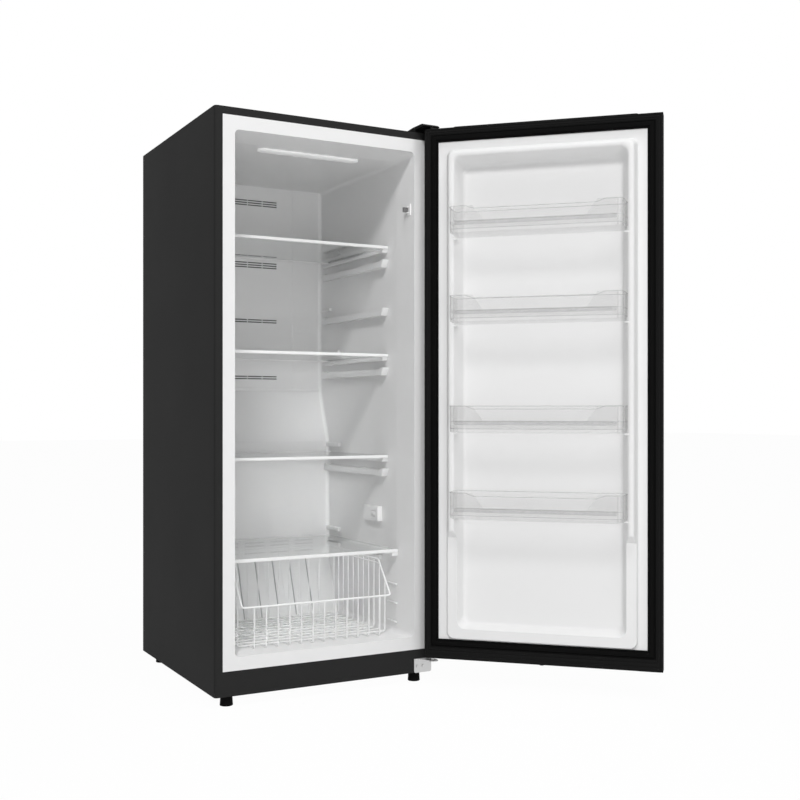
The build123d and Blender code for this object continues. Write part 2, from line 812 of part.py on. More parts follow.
def compressor():
    """Domed steel pot on a foot plate with four rubber mounts and a terminal box."""
    low = machine_floor_z + compressor_feet_rise
    pot = Pos(compressor_x, machine_mid_y, low + compressor_height / 2) * Cylinder(
        compressor_radius, compressor_height)
    pot = fillet(pot.edges().group_by(Axis.Z)[-1], 45)
    pot = fillet(pot.edges().group_by(Axis.Z)[0], 12)
    pot += block((compressor_x - 85, compressor_x + 85), (machine_mid_y - 45, machine_mid_y + 45),
                 (low, low + 3))
    pot += block((compressor_x + compressor_radius - 12, compressor_x + compressor_radius + 22),
                 (machine_mid_y - 25, machine_mid_y + 25), (low + 60, low + 115))
    for dx in (-75, 75):
        for dy in (-36, 36):
            x, y = compressor_x + dx, machine_mid_y + dy
            pot += rod((x, y, machine_floor_z), (x, y, low + 1), 8)
    return pot


def condenser():
    """Folded wire coil block between two end plates, standing on the base plate."""
    x0, x1 = condenser_range
    y0, y1 = machine_y + condenser_wall, inner_back_y - condenser_wall
    core = block((x0, x1), (y0, y1), (machine_floor_z, machine_floor_z + 8))
    for x in (x0, x1 - 2):
        core += block((x, x + 2), (y0, y1), (machine_floor_z, condenser_top_z))
    for z in spaced(machine_floor_z + 25, condenser_top_z - 15, 26):
        for y in spaced(y0 + 15, y1 - 15, 34):
            core += rod((x0 + 1, y, z), (x1 - 1, y, z), 2.5)
    return core


def refrigerant_tube():
    """Discharge line from the compressor to the condenser's end plate."""
    start_z = machine_floor_z + compressor_feet_rise + 50
    y = machine_mid_y + 40
    start = (compressor_x - 40, y, start_z)
    middle = (40, y, start_z)
    end = (40, y, machine_floor_z + 24)
    far = (condenser_range[1], y, machine_floor_z + 24)
    path = FilletPolyline(start, middle, end, far, radius=15)
    return sweep(Plane(origin=path @ 0, z_dir=path % 0) * Circle(3.2), path)


pot = compressor()
save("compressor", pot)
save("condenser", condenser())
save("refrigerant_tube", refrigerant_tube() - pot)

rotor = fan(condenser_fan_radius, fan_hub, fan_length, fan_blades, shaft_radius + pin_gap)
save("condenser_fan", Pos(condenser_fan_x, machine_mid_y - 8, machine_mid_z) * Rot(0, 90, 0) * rotor)


def condenser_fan_motor():
    """Motor on an upright bracket, with the fan's shaft."""
    x0 = condenser_fan_x + fan_length + 2
    y = machine_mid_y - 8
    motor = rod((x0, y, machine_mid_z), (x0 + 38, y, machine_mid_z), motor_radius)
    motor += rod((condenser_fan_x, y, machine_mid_z), (x0 + 1, y, machine_mid_z), shaft_radius)
    motor += block((x0 + 12, x0 + 26), (y - 12, y + 12), (machine_floor_z, machine_mid_z))
    motor += block((x0 + 2, x0 + 36), (y - 22, y + 22), (machine_floor_z, machine_floor_z + 3))
    return motor


def drain_pan():
    """Open tray that catches defrost water at the left end of the compartment."""
    x_range = (-half_width + foot_side_inset + nut_radius + 3, condenser_range[0] - 6)
    y_range = (machine_y + 8, inner_back_y - 8)
    tray = block(x_range, y_range, (machine_floor_z, machine_floor_z + 45))
    return tray - block((x_range[0] + 2, x_range[1] - 2), (y_range[0] + 2, y_range[1] - 2),
                        (machine_floor_z + 2, machine_floor_z + 50))


save("condenser_fan_motor", condenser_fan_motor())
save("drain_pan", drain_pan())

inlet_x = 285.0
inlet_z = base_z + 170.0
inlet_half_width = 14.0
inlet_half_height = 10.0
inlet_depth = 18.0
cover_slot_rows = 12
cover_slot_pitch = 14.0
cover_slot_columns = 5
cover_slot_spacing = 110.0
cover_slot_length = 90.0
cover_slot_margin = 29.5
cover_slot_height = 6.0


def machine_cover():
    """Slotted rear cover of the machine compartment, with a hole for the power inlet."""
    cover = block((-frame_half, frame_half), (inner_back_y, back_y), (base_z, machine_top_z))
    for row in range(cover_slot_rows):
        z = machine_floor_z + 25 + row * cover_slot_pitch
        for column in range(cover_slot_columns):
            x0 = -frame_half + cover_slot_margin + column * cover_slot_spacing
            cover -= block((x0, x0 + cover_slot_length), (inner_back_y - 1, back_y + 1),
                           (z, z + cover_slot_height))
    return cover - block((inlet_x - inlet_half_width - 3, inlet_x + inlet_half_width + 3),
                         (inner_back_y - 1, back_y + 1),
                         (inlet_z - inlet_half_height - 3, inlet_z + inlet_half_height + 3))


def power_inlet():
    """Three-pin inlet socket, flush with the rear cover."""
    outer_half, outer_high = inlet_half_width + 3, inlet_half_height + 3
    body = block((inlet_x - outer_half, inlet_x + outer_half), (back_y - inlet_depth - 3, back_y),
                 (inlet_z - outer_high, inlet_z + outer_high))
    body -= block((inlet_x - inlet_half_width, inlet_x + inlet_half_width),
                  (back_y - inlet_depth, back_y + 1),
                  (inlet_z - inlet_half_height, inlet_z + inlet_half_height))
    for dx, dz in ((-7, -2), (0, 2), (7, -2)):
        body += block((inlet_x + dx - 1, inlet_x + dx + 1), (back_y - inlet_depth - 1, back_y - 4),
                      (inlet_z + dz - 2.5, inlet_z + dz + 2.5))
    return body


save("machine_cover", machine_cover())
save("power_inlet", power_inlet())

# ---- Hinges on the cabinet ----
bracket_plate = 3.0
bracket_width = 61.0
bracket_leg_top_z = base_z + 43.0
arm_reach = 18.0
arm_half = 15.0
collar_radius = 7.0
bracket_outer_x = half_width - 1.0
pin_bottom_top_z = door_bottom_z + bush_length - 1.5
pin_top_bottom_z = door_top_z - bush_length + 1.5
top_arm_z = door_top_z + 2.5
top_plate_back_y = front_y + 100.0
cover_height = 24.0
screw_radius = 4.5
screw_head = 2.5


def bottom_hinge_bracket():
    """Angle bracket on the kick plate, whose arm carries the lower pin and its collar."""
    leg = block((bracket_outer_x - bracket_width, bracket_outer_x), (front_y - bracket_plate, front_y),
                (base_z, bracket_leg_top_z))
    leg = fillet(leg.edges().filter_by(Axis.Y).group_by(Axis.Z)[0], 6)
    arm_top = bracket_leg_top_z
    arm = block((pivot_x - arm_half, bracket_outer_x), (pivot_y, front_y),
                (arm_top - bracket_plate, arm_top))
    arm += block((pivot_x - arm_half, bracket_outer_x), (pivot_y - arm_reach, pivot_y),
                 (arm_top - bracket_plate, arm_top))
    arm = fillet(arm.edges().filter_by(Axis.Z).group_by(Axis.Y)[0], 9)
    pin = rod((pivot_x, pivot_y, arm_top - 1), (pivot_x, pivot_y, pin_bottom_top_z), pin_radius)
    collar = rod((pivot_x, pivot_y, arm_top - 1), (pivot_x, pivot_y, door_bottom_z - fit_gap),
                 collar_radius)
    return leg + arm + pin + collar


def top_hinge_bracket():
    """Plate screwed to the cabinet's top, stepping up to an arm above the door."""
    x_range = (bracket_outer_x - bracket_width + 8, bracket_outer_x - 2)
    plate = block(x_range, (inner_front_y, top_plate_back_y), (top_z, top_z + bracket_plate))
    step = block((pivot_x - arm_half, bracket_outer_x - 2), (inner_front_y, inner_front_y + 12),
                 (top_z, top_arm_z + bracket_plate))
    arm = block((pivot_x - arm_half, bracket_outer_x - 2), (pivot_y - arm_half, inner_front_y + 12),
                (top_arm_z, top_arm_z + bracket_plate))
    pin = rod((pivot_x, pivot_y, pin_top_bottom_z), (pivot_x, pivot_y, top_arm_z + 1), pin_radius)
    return plate + step + arm + pin


def top_hinge_cover():
    """Hollow wedge over the top bracket, with a round cap over the pin."""
    wall = 2.0
    cover_top = top_z + cover_height
    front = pivot_y - arm_half - wall - 1
    rim_z = door_top_z + 6.5
    outer = [(front, rim_z), (front, cover_top - 7), (front + 12, cover_top),
             (inner_front_y + 12, cover_top), (top_plate_back_y + 6, top_z + 8),
             (top_plate_back_y + 6, top_z), (front_y, top_z), (front_y, rim_z)]
    x_range = (bracket_outer_x - bracket_width + 5, bracket_outer_x + 0.5)
    shell = prism_x(outer, *x_range)
    inner = [(front + wall, rim_z - 1), (front + wall, cover_top - 8), (front + 13, cover_top - wall),
             (inner_front_y + 11, cover_top - wall), (top_plate_back_y + 4, top_z + 6),
             (top_plate_back_y + 4, top_z - 1), (front_y - 1, top_z - 1), (front_y - 1, rim_z - 1)]
    shell -= prism_x(inner, x_range[0] + wall, x_range[1] - wall)
    return shell


def hinge_screws():
    """Button-head screws that hold the two brackets."""
    screws = []
    plate_x = (bracket_outer_x - bracket_width / 2 - 10, bracket_outer_x - bracket_width / 2 + 14)
    for x, depth in ((plate_x[0], 50), (plate_x[1], 50), (plate_x[1], 80)):
        z = top_z + bracket_plate
        screws.append(rod((x, front_y + depth, z), (x, front_y + depth, z + screw_head), screw_radius))
    for x in (bracket_outer_x - bracket_width + 12, bracket_outer_x - bracket_width + 32):
        z = base_z + 20
        y = front_y - bracket_plate
        screws.append(rod((x, y, z), (x, y - screw_head, z), screw_radius))
    return screws


save("bottom_hinge_bracket", bottom_hinge_bracket())
save("top_hinge_bracket", top_hinge_bracket())
save("top_hinge_cover", top_hinge_cover())
save("hinge_screws", *hinge_screws())


# ---- Door, drawn closed ----
def swung(part):
    """The part after the door has swung open about its pivot."""
    return (Pos(pivot_x, pivot_y, 0) * Rot(0, 0, door_open_angle) * Pos(-pivot_x, -pivot_y, 0)) * part


def save_door(name, *parts):
    """Write a node of the door in its open place."""
    save(name, *[swung(part) for part in parts])


def door_block(u_range, h_range, z_range):
    """Box on the door: u from its hinge edge, h from its inner plane towards the food space."""
    return block((hinge_edge_x - u_range[1], hinge_edge_x - u_range[0]),
                 (door_inner_y + h_range[0], door_inner_y + h_range[1]), z_range)


def rounded_front(part):
    """The part with the door's rounded outer upright edges."""
    return fillet(part.edges().filter_by(Axis.Z).group_by(Axis.Y)[0], door_skin_radius)


skin_bottom_z = door_bottom_z + door_cap_height
skin_top_z = door_top_z - door_cap_height
pocket_u = (door_width - 66.0, door_width - 20.0)
pocket_z = (door_bottom_z + 830.0, door_bottom_z + 980.0)
pocket_depth = 24.0
pocket_wall = 1.5


def door_skin():
    """Outer sheet folded round the sides and back over the rim, open where the liner sits."""
    skin = rounded_front(door_block((0, door_width), (-door_thickness, 0), (skin_bottom_z, skin_top_z)))
    inside = door_block((sheet, door_width - sheet), (-door_thickness + sheet, -sheet),
                        (skin_bottom_z, skin_top_z))
    skin -= fillet(inside.edges().filter_by(Axis.Z).group_by(Axis.Y)[0], door_skin_radius - sheet)
    skin -= door_block((rim_width, door_width - rim_width), (-sheet - 1, 1),
                       (door_bottom_z + rim_bottom, door_top_z - rim_top))
    return skin - door_block(pocket_u, (-door_thickness - 1, -door_thickness + sheet), pocket_z)


def handle_cup():
    """Recessed grip let into the outer face beside the free edge."""
    flange = 4.0
    low, high = pocket_z
    cup = door_block(pocket_u, (-door_thickness, -door_thickness + pocket_depth), pocket_z)
    cup -= door_block((pocket_u[0] + pocket_wall, pocket_u[1] - pocket_wall),
                      (-door_thickness - 1, -door_thickness + pocket_depth - pocket_wall),
                      (low + pocket_wall, high - pocket_wall))
    rim = door_block((pocket_u[0] - flange, pocket_u[1] + flange), (-door_thickness - 1.2, -door_thickness),
                     (low - flange, high + flange))
    rim -= door_block((pocket_u[0] + pocket_wall, pocket_u[1] - pocket_wall),
                      (-door_thickness - 2, -door_thickness + 1), (low + pocket_wall, high - pocket_wall))
    return cup + rim


def pivot_bore(radius):
    """Upright bore through both ends of the door at its pivot."""
    return rod((pivot_x, pivot_y, 0), (pivot_x, pivot_y, above_all_z), radius)


ridge_ends = (80.0, 650.0)
ridge_height = 5.0
ridge_h = (-38.0, -12.0)


def door_cap(z_range):
    """End cap of the door, bored for the hinge bush."""
    cap = rounded_front(door_block((0, door_width), (-door_thickness, 0), z_range))
    return cap - pivot_bore(bush_radius)


def top_ridge():
    """Low ridge with sloped ends along the top of the door."""
    x0, x1 = hinge_edge_x - ridge_ends[1], hinge_edge_x - ridge_ends[0]
    high = door_top_z + ridge_height
    points = [(x0, door_top_z), (x1, door_top_z), (x1 - 12, high), (x0 + 12, high)]
    return prism_y(points, door_inner_y + ridge_h[0], door_inner_y + ridge_h[1])


pad_drop = 3.5
pad_depth = 22.0
pad_ranges = ((pivot_inset + collar_radius + 3, 66.0), (door_width - 68.0, door_width - 8.0))
knob_drop = 6.0
knob_radius = 6.5


def bottom_pads():
    """Two flat pads under the ends of the door, and a small round stop midway."""
    middle_h = -door_thickness / 2
    h_range = (middle_h - pad_depth / 2, middle_h + pad_depth / 2)
    z_range = (door_bottom_z - pad_drop, door_bottom_z)
    pads = door_block(pad_ranges[0], h_range, z_range) + door_block(pad_ranges[1], h_range, z_range)
    x, y = hinge_edge_x - door_width / 2, door_inner_y + middle_h
    return pads + rod((x, y, door_bottom_z - knob_drop), (x, y, door_bottom_z), knob_radius)


save_door("door_skin", door_skin())
save_door("handle_cup", handle_cup())
save_door("door_top_cap", door_cap((skin_top_z, door_top_z)) + top_ridge())
save_door("door_bottom_cap", door_cap((door_bottom_z, skin_bottom_z)) + bottom_pads())


def hinge_bush(z0):
    """Plastic bush between the door and a hinge pin."""
    ring = rod((pivot_x, pivot_y, z0), (pivot_x, pivot_y, z0 + bush_length), bush_radius - pin_gap)
    return ring - pivot_bore(pin_radius + pin_gap)


save_door("hinge_bushes", hinge_bush(door_bottom_z), hinge_bush(door_top_z - bush_length))

# ---- Door liner ----
plate_u = (rim_width, door_width - rim_width)
plate_z = (door_bottom_z + rim_bottom, door_top_z - rim_top)
dyke_z = (door_bottom_z + dyke_bottom_edge, door_top_z - dyke_top_edge)
dyke_step_z = base_z + dyke_step_height


def frustum(u_margin_low, z_low, h_low, u_margin_high, z_high, h_high, corner):
    """Block with sloped sides between two rounded sections of the door."""
    faces = []
    for margin, (z0, z1), h, radius in ((u_margin_low, z_low, h_low, corner),
                                        (u_margin_high, z_high, h_high, corner)):
        plane = Plane(origin=(hinge_edge_x - door_width / 2, door_inner_y + h, (z0 + z1) / 2),
                      x_dir=(1, 0, 0), z_dir=(0, -1, 0))
        faces.append(plane * RectangleRounded(door_width - 2 * margin, z1 - z0, radius))
    return loft(faces, ruled=True)


def inset(z_range, amount):
    """The range shortened by the same amount at both ends."""
    return (z_range[0] + amount, z_range[1] - amount)


def dyke_form(grow):
    """Raised ring before its recess is cut, lower at the bottom than above the step."""
    high = frustum(dyke_edge - grow, inset(dyke_z, -grow), -recess_depth - liner_wall,
                   dyke_edge + dyke_outer_slope - grow, inset(dyke_z, dyke_outer_slope - grow),
                   dyke_height + grow, 20)
    ramp = 22.0
    cut = [(door_inner_y + dyke_low_height + grow, dyke_z[0] - 50),
           (door_inner_y + dyke_low_height + grow, dyke_step_z - ramp),
           (door_inner_y + dyke_height + grow + 1, dyke_step_z),
           (door_inner_y + dyke_height + 60, dyke_step_z),
           (door_inner_y + dyke_height + 60, dyke_z[0] - 50)]
    return high - prism_x(cut, -door_width, door_width)


def recess_form(grow):
    """Hollow inside the ring, grown outward into it."""
    slope_in = dyke_edge + dyke_outer_slope + dyke_crest
    over = 20.0
    rate = recess_slope / (recess_depth + dyke_height)
    near = inset(dyke_z, dyke_outer_slope + dyke_crest - over * rate - grow)
    far = inset(dyke_z, dyke_outer_slope + dyke_crest + recess_slope - grow)
    return frustum(slope_in + recess_slope - grow, far, -recess_depth - grow,
                   slope_in - over * rate - grow, near, dyke_height + over, 24)


def bin_lug(side, z):
    """Lug on the ring's inner flank that carries one end of a bin."""
    half = bin_back_half + 6
    x = hinge_edge_x - door_width / 2
    near, far = x + side * (half - bin_lug_reach), x + side * (half + 12)
    lug = block(sorted((near, far)), (door_inner_y + 2, door_inner_y + dyke_height - 3),
                (z - bin_lug_height - fit_gap, z - fit_gap))
    return lug


def door_liner():
    """Thin moulded inner panel: flat edge, raised ring, recess and bin lugs."""
    ring = dyke_form(0) - recess_form(0)
    panel = door_block(plate_u, (-liner_wall, 0), plate_z) - recess_form(0)
    ring = fillet(ring.edges().filter_by(lambda edge: edge.center().Y > door_inner_y + 6), 3.5)
    back = door_block((0, door_width), (-recess_depth - liner_wall - 1, dyke_height + 5), (0, top_z))
    hollow = dyke_form(-liner_wall) - recess_form(liner_wall)
    hollow += door_block((0, door_width), (-recess_depth - liner_wall - 1, -liner_wall),
                         (0, above_all_z)) - recess_form(liner_wall)
    floor_plate = frustum(dyke_edge, dyke_z, -recess_depth - liner_wall, dyke_edge, dyke_z, 0, 20)
    body = (ring + panel + (floor_plate - recess_form(0))) & back
    body -= hollow
    for height in bin_heights:
        for side in (-1, 1):
            body += bin_lug(side, base_z + height) & recess_form(liner_wall / 2)
    return body


save_door("door_liner", door_liner())


def mitred(part, outer_u, outer_z, inner_u, inner_z):
    """Four pieces of a ring, cut from its outer corners to its inner ones."""
    (u0, u1), (z0, z1) = outer_u, outer_z
    (a0, a1), (b0, b1) = inner_u, inner_z
    outlines = [
        [(u0, z0), (u0, z1), (a0, b1), (a0, b0)],
        [(u1, z0), (u1, z1), (a1, b1), (a1, b0)],
        [(u0, z0), (u1, z0), (a1, b0), (a0, b0)],
        [(u0, z1), (u1, z1), (a1, b1), (a0, b1)],
    ]
    cutters = [prism_y([(hinge_edge_x - u, z) for u, z in outline],
                       door_inner_y - door_thickness, door_inner_y + door_thickness)
               for outline in outlines]
    return [part & cutter for cutter in cutters]


def door_insulation():
    """Foam of the door as convex pieces: a slab round the handle, edge bars and ring fill."""
    low, high = door_bottom_z + bush_length + 1, door_top_z - bush_length - 1
    deep = -recess_depth - liner_wall
    slab_h = (-door_thickness + sheet, deep)
    whole = (sheet, door_width - sheet)
    slab = [
        door_block((whole[0], pocket_u[0]), slab_h, (low, high)),
        door_block((pocket_u[0], whole[1]), slab_h, (low, pocket_z[0])),
        door_block((pocket_u[0], whole[1]), slab_h, (pocket_z[1], high)),
        door_block((pocket_u[1], whole[1]), slab_h, pocket_z),
    ]
    reach = dyke_edge + dyke_outer_slope + dyke_crest + recess_slope + 8
    reach_z = dyke_outer_slope + dyke_crest + recess_slope + 8
    inner_u, inner_z = (reach, door_width - reach), inset(dyke_z, reach_z)
    bars = door_block(whole, (deep, -liner_wall), (low, high)) - recess_form(liner_wall)
    fill = dyke_form(-liner_wall) - recess_form(liner_wall)
    fill &= door_block((0, door_width), (-liner_wall, dyke_height), (0, above_all_z))
    pieces = slab + mitred(bars, (0, door_width), (door_bottom_z, door_top_z), inner_u, inner_z)
    for piece in mitred(fill, (0, door_width), (door_bottom_z, door_top_z), inner_u, inner_z):
        for z_range in ((0, dyke_step_z), (dyke_step_z, above_all_z)):
            part = piece & door_block((0, door_width), (-liner_wall, dyke_height), z_range)
            if part.solids():
                pieces.append(part)
    cup_room = door_block(pocket_u, (-door_thickness, -door_thickness + pocket_depth), pocket_z)
    outline = door_block(whole, (-door_thickness + sheet, dyke_height), (low, high))
    corners = outline.edges().filter_by(Axis.Z).group_by(Axis.Y)[0]
    outline = fillet(corners, door_skin_radius - sheet)
    return [(piece & outline) - cup_room for piece in pieces]


save_door("door_insulation", *door_insulation())


def door_gasket():
    """Magnetic seal round the door: four mitred lengths with rounded lips."""
    outer_u = (gasket_edge, door_width - gasket_edge)
    outer_z = (door_bottom_z + gasket_bottom_edge, door_top_z - gasket_edge)
    inner_u, inner_z = inset(outer_u, gasket_width), inset(outer_z, gasket_width)
    ring = door_block(outer_u, (0, gasket_height), outer_z) - door_block(inner_u, (-1, 20), inner_z)
    ring = fillet(ring.edges().group_by(Axis.Y)[-1], 2.5)
    return mitred(ring, outer_u, outer_z, inner_u, inner_z)


save_door("door_gasket", *door_gasket())


# ---- Door bins ----
def bin_shell(z):
    """Clear bin: a tray with a shouldered back, a low middle pane and a raised front frame."""
    middle_x = hinge_edge_x - door_width / 2
    front_y_of_bin = door_inner_y + bin_front - bin_band_proud
    right = [(bin_back_half, door_inner_y + bin_back), (bin_shoulder_half, door_inner_y + bin_shoulder),
             (bin_front_half, front_y_of_bin)]
    outline = [(middle_x + x, y) for x, y in right] + [(middle_x - x, y) for x, y in reversed(right)]
    face = Plane.XY * make_face(Polyline(*outline, close=True))
    corners = face.vertices().group_by(Axis.Y)[-1]
    face = fillet(corners, 12)
    shell = extrude(Plane.XY.offset(z) * face, bin_height)
    shell = fillet(shell.edges().group_by(Axis.Z)[0], 2)
    room = offset(face, -bin_wall)
    shell -= extrude(Plane.XY.offset(z + bin_wall) * room, bin_height)
    frame_half_span = bin_front_half - bin_end_frame
    middle = frame_half_span - bin_slant
    cut = [(middle_x - frame_half_span, z + bin_height + 1), (middle_x + frame_half_span, z + bin_height + 1),
           (middle_x + frame_half_span, z + bin_height - bin_pane_drop),
           (middle_x - frame_half_span, z + bin_height - bin_pane_drop)]
    shell -= prism_y(cut, front_y_of_bin - 20, front_y_of_bin + 5)
    end = bin_front_half - 14
    raised = [(-end, bin_height), (-frame_half_span, bin_height), (-middle, bin_band_high),
              (middle, bin_band_high), (frame_half_span, bin_height), (end, bin_height),
              (end, bin_band_low), (-end, bin_band_low)]
    return shell + prism_y([(middle_x + x, z + rise) for x, rise in raised],
                           front_y_of_bin - 0.5, front_y_of_bin + bin_band_proud)


for number, height in enumerate(bin_heights, start=1):
    save_door(f"door_bin_{number}", bin_shell(base_z + height))
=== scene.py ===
import bpy
import json
from math import cos, pi, radians, sin
from mathutils import Matrix, Vector


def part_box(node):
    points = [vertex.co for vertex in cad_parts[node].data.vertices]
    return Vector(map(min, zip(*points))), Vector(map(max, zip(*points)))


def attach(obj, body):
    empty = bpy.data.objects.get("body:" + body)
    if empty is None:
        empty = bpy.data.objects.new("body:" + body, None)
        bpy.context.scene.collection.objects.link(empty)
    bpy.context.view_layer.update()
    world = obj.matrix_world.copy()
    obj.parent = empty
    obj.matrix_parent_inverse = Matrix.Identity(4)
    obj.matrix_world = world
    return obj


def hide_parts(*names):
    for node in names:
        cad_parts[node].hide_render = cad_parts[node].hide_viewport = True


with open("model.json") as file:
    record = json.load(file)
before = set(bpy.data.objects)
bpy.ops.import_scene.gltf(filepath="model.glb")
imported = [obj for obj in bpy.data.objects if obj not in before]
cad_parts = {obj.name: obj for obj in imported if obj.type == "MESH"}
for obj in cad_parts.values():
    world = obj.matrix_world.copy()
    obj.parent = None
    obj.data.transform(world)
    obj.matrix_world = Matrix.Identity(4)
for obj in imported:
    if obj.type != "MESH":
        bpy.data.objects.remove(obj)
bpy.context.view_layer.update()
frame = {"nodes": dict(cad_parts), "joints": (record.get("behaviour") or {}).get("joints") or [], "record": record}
nodes = frame["nodes"]
scene = bpy.context.scene
bpy.ops.object.select_all(action="DESELECT")


# ---- Places read from the frame ----
def joint(name):
    """The joint with that name."""
    return next(item for item in frame["joints"] if item["name"] == name)


pivot = Vector(joint("door_hinge")["pos_m"])
open_angle = -radians(min(joint("door_hinge")["range_deg"]))
cabinet_low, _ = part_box("left_side_panel")


# ---- Node helpers for materials ----
def tone(level, tint=(1.0, 1.0, 1.0)):
    """Linear colour of a screen grey from 0 to 255, with a slight tint."""
    share = level / 255
    linear = share / 12.92 if share <= 0.04045 else ((share + 0.055) / 1.055) ** 2.4
    return (linear * tint[0], linear * tint[1], linear * tint[2], 1.0)


def new_material(name):
    """A node material with only its Principled shader and output; gives it, its tree and shader."""
    material = bpy.data.materials.new(name)
    material.use_nodes = True
    tree = material.node_tree
    return material, tree, tree.nodes["Principled BSDF"]


def object_coordinates(tree):
    """Object coordinates of the piece, in metres."""
    return tree.nodes.new("ShaderNodeTexCoord").outputs["Object"]


def new_group(name, inputs, outputs):
    """A node group with its inputs, its outputs and its two end nodes."""
    tree = bpy.data.node_groups.new(name, "ShaderNodeTree")
    for label, kind, value in inputs:
        socket = tree.interface.new_socket(label, in_out="INPUT", socket_type=kind)
        if value is not None:
            socket.default_value = value
    for label, kind in outputs:
        tree.interface.new_socket(label, in_out="OUTPUT", socket_type=kind)
    start = tree.nodes.new("NodeGroupInput")
    end = tree.nodes.new("NodeGroupOutput")
    return tree, start.outputs, end.inputs


def connect(tree, *pairs):
    """Link pairs of sockets."""
    for source, target in pairs:
        tree.links.new(source, target)


def feed(tree, socket, value):
    """Set a socket to a number, or link another socket to it."""
    if isinstance(value, (int, float)):
        socket.default_value = value
    else:
        tree.links.new(value, socket)


def calculate(tree, operation, first, second, clamp=False):
    """Result of a math node on two values, each a number or a socket."""
    node = tree.nodes.new("ShaderNodeMath")
    node.operation = operation
    node.use_clamp = clamp
    feed(tree, node.inputs[0], first)
    feed(tree, node.inputs[1], second)
    return node.outputs[0]


def noise(tree, vector, scale, detail):
    """A noise texture's factor; scale is a number or a socket."""
    node = tree.nodes.new("ShaderNodeTexNoise")
    node.inputs["Detail"].default_value = detail
    tree.links.new(vector, node.inputs["Vector"])
    feed(tree, node.inputs["Scale"], scale)
    return node.outputs["Fac"]


def between(tree, factor, low, high):
    """Maps a factor from 0..1 onto low..high; each end is a number or a socket."""
    node = tree.nodes.new("ShaderNodeMapRange")
    tree.links.new(factor, node.inputs["Value"])
    feed(tree, node.inputs["To Min"], low)
    feed(tree, node.inputs["To Max"], high)
    return node.outputs["Result"]


def rays(tree, *kinds):
    """Mask of the rays of the named kinds."""
    light_path = tree.nodes.new("ShaderNodeLightPath")
    mask = light_path.outputs[f"Is {kinds[0]} Ray"]
    for kind in kinds[1:]:
        mask = calculate(tree, "MAXIMUM", mask, light_path.outputs[f"Is {kind} Ray"])
    return mask


def build_surface_grain():
    """Group: fine skin texture as a height, and a slow change of colour and roughness."""
    tree, given, wanted = new_group(
        "surface_grain",
        [("Vector", "NodeSocketVector", None), ("Grain Scale", "NodeSocketFloat", 900.0),
         ("Cloud Scale", "NodeSocketFloat", 3.0),
         ("Colour", "NodeSocketColor", (0.8, 0.8, 0.8, 1.0)),
         ("Colour Change", "NodeSocketFloat", 0.04), ("Rough Low", "NodeSocketFloat", 0.4),
         ("Rough High", "NodeSocketFloat", 0.5)],
        [("Colour", "NodeSocketColor"), ("Roughness", "NodeSocketFloat"),
         ("Height", "NodeSocketFloat")])
    fine = noise(tree, given["Vector"], given["Grain Scale"], 3.0)
    cloud = noise(tree, given["Vector"], given["Cloud Scale"], 4.0)
    darkest = calculate(tree, "SUBTRACT", 1.0, given["Colour Change"])
    shaded = tree.nodes.new("ShaderNodeVectorMath")
    shaded.operation = "SCALE"
    rough = between(tree, cloud, given["Rough Low"], given["Rough High"])
    connect(tree, (given["Colour"], shaded.inputs[0]),
            (between(tree, cloud, 1.0, darkest), shaded.inputs["Scale"]),
            (shaded.outputs[0], wanted["Colour"]), (rough, wanted["Roughness"]),
            (fine, wanted["Height"]))
    return tree


def build_dust():
    """Group: a little dust, thicker on faces that look up and in slow patches."""
    tree, given, wanted = new_group(
        "dust",
        [("Vector", "NodeSocketVector", None),
         ("Colour", "NodeSocketColor", (0.5, 0.5, 0.5, 1.0)),
         ("Dust", "NodeSocketColor", (0.5, 0.49, 0.47, 1.0)),
         ("Amount", "NodeSocketFloat", 0.1)],
        [("Colour", "NodeSocketColor")])
    geometry = tree.nodes.new("ShaderNodeNewGeometry")
    split = tree.nodes.new("ShaderNodeSeparateXYZ")
    connect(tree, (geometry.outputs["Normal"], split.inputs[0]))
    patches = noise(tree, given["Vector"], 14.0, 6.0)
    upward = calculate(tree, "MULTIPLY", split.outputs["Z"], patches, clamp=True)
    amount = calculate(tree, "MULTIPLY", upward, given["Amount"])
    mix = tree.nodes.new("ShaderNodeMix")
    mix.data_type = "RGBA"
    connect(tree, (amount, mix.inputs["Factor"]), (given["Colour"], mix.inputs["A"]),
            (given["Dust"], mix.inputs["B"]), (mix.outputs["Result"], wanted["Colour"]))
    return tree


surface_grain = build_surface_grain()
dust = build_dust()


def add_group(tree, group, vector, **values):
    """Place a node group, feed its vector and set its other inputs by name."""
    node = tree.nodes.new("ShaderNodeGroup")
    node.node_tree = group
    tree.links.new(vector, node.inputs["Vector"])
    for label, value in values.items():
        node.inputs[label.replace("_", " ")].default_value = value
    return node


def grained_material(name, colour, rough, grain_scale, change):
    """A material whose colour and roughness come from its surface grain, and its nodes."""
    material, tree, shader = new_material(name)
    where = object_coordinates(tree)
    grain = add_group(tree, surface_grain, where, Grain_Scale=grain_scale, Colour=colour,
                      Colour_Change=change, Rough_Low=rough[0], Rough_High=rough[1])
    connect(tree, (grain.outputs["Colour"], shader.inputs["Base Color"]),
            (grain.outputs["Roughness"], shader.inputs["Roughness"]))
    return material, tree, shader, where, grain


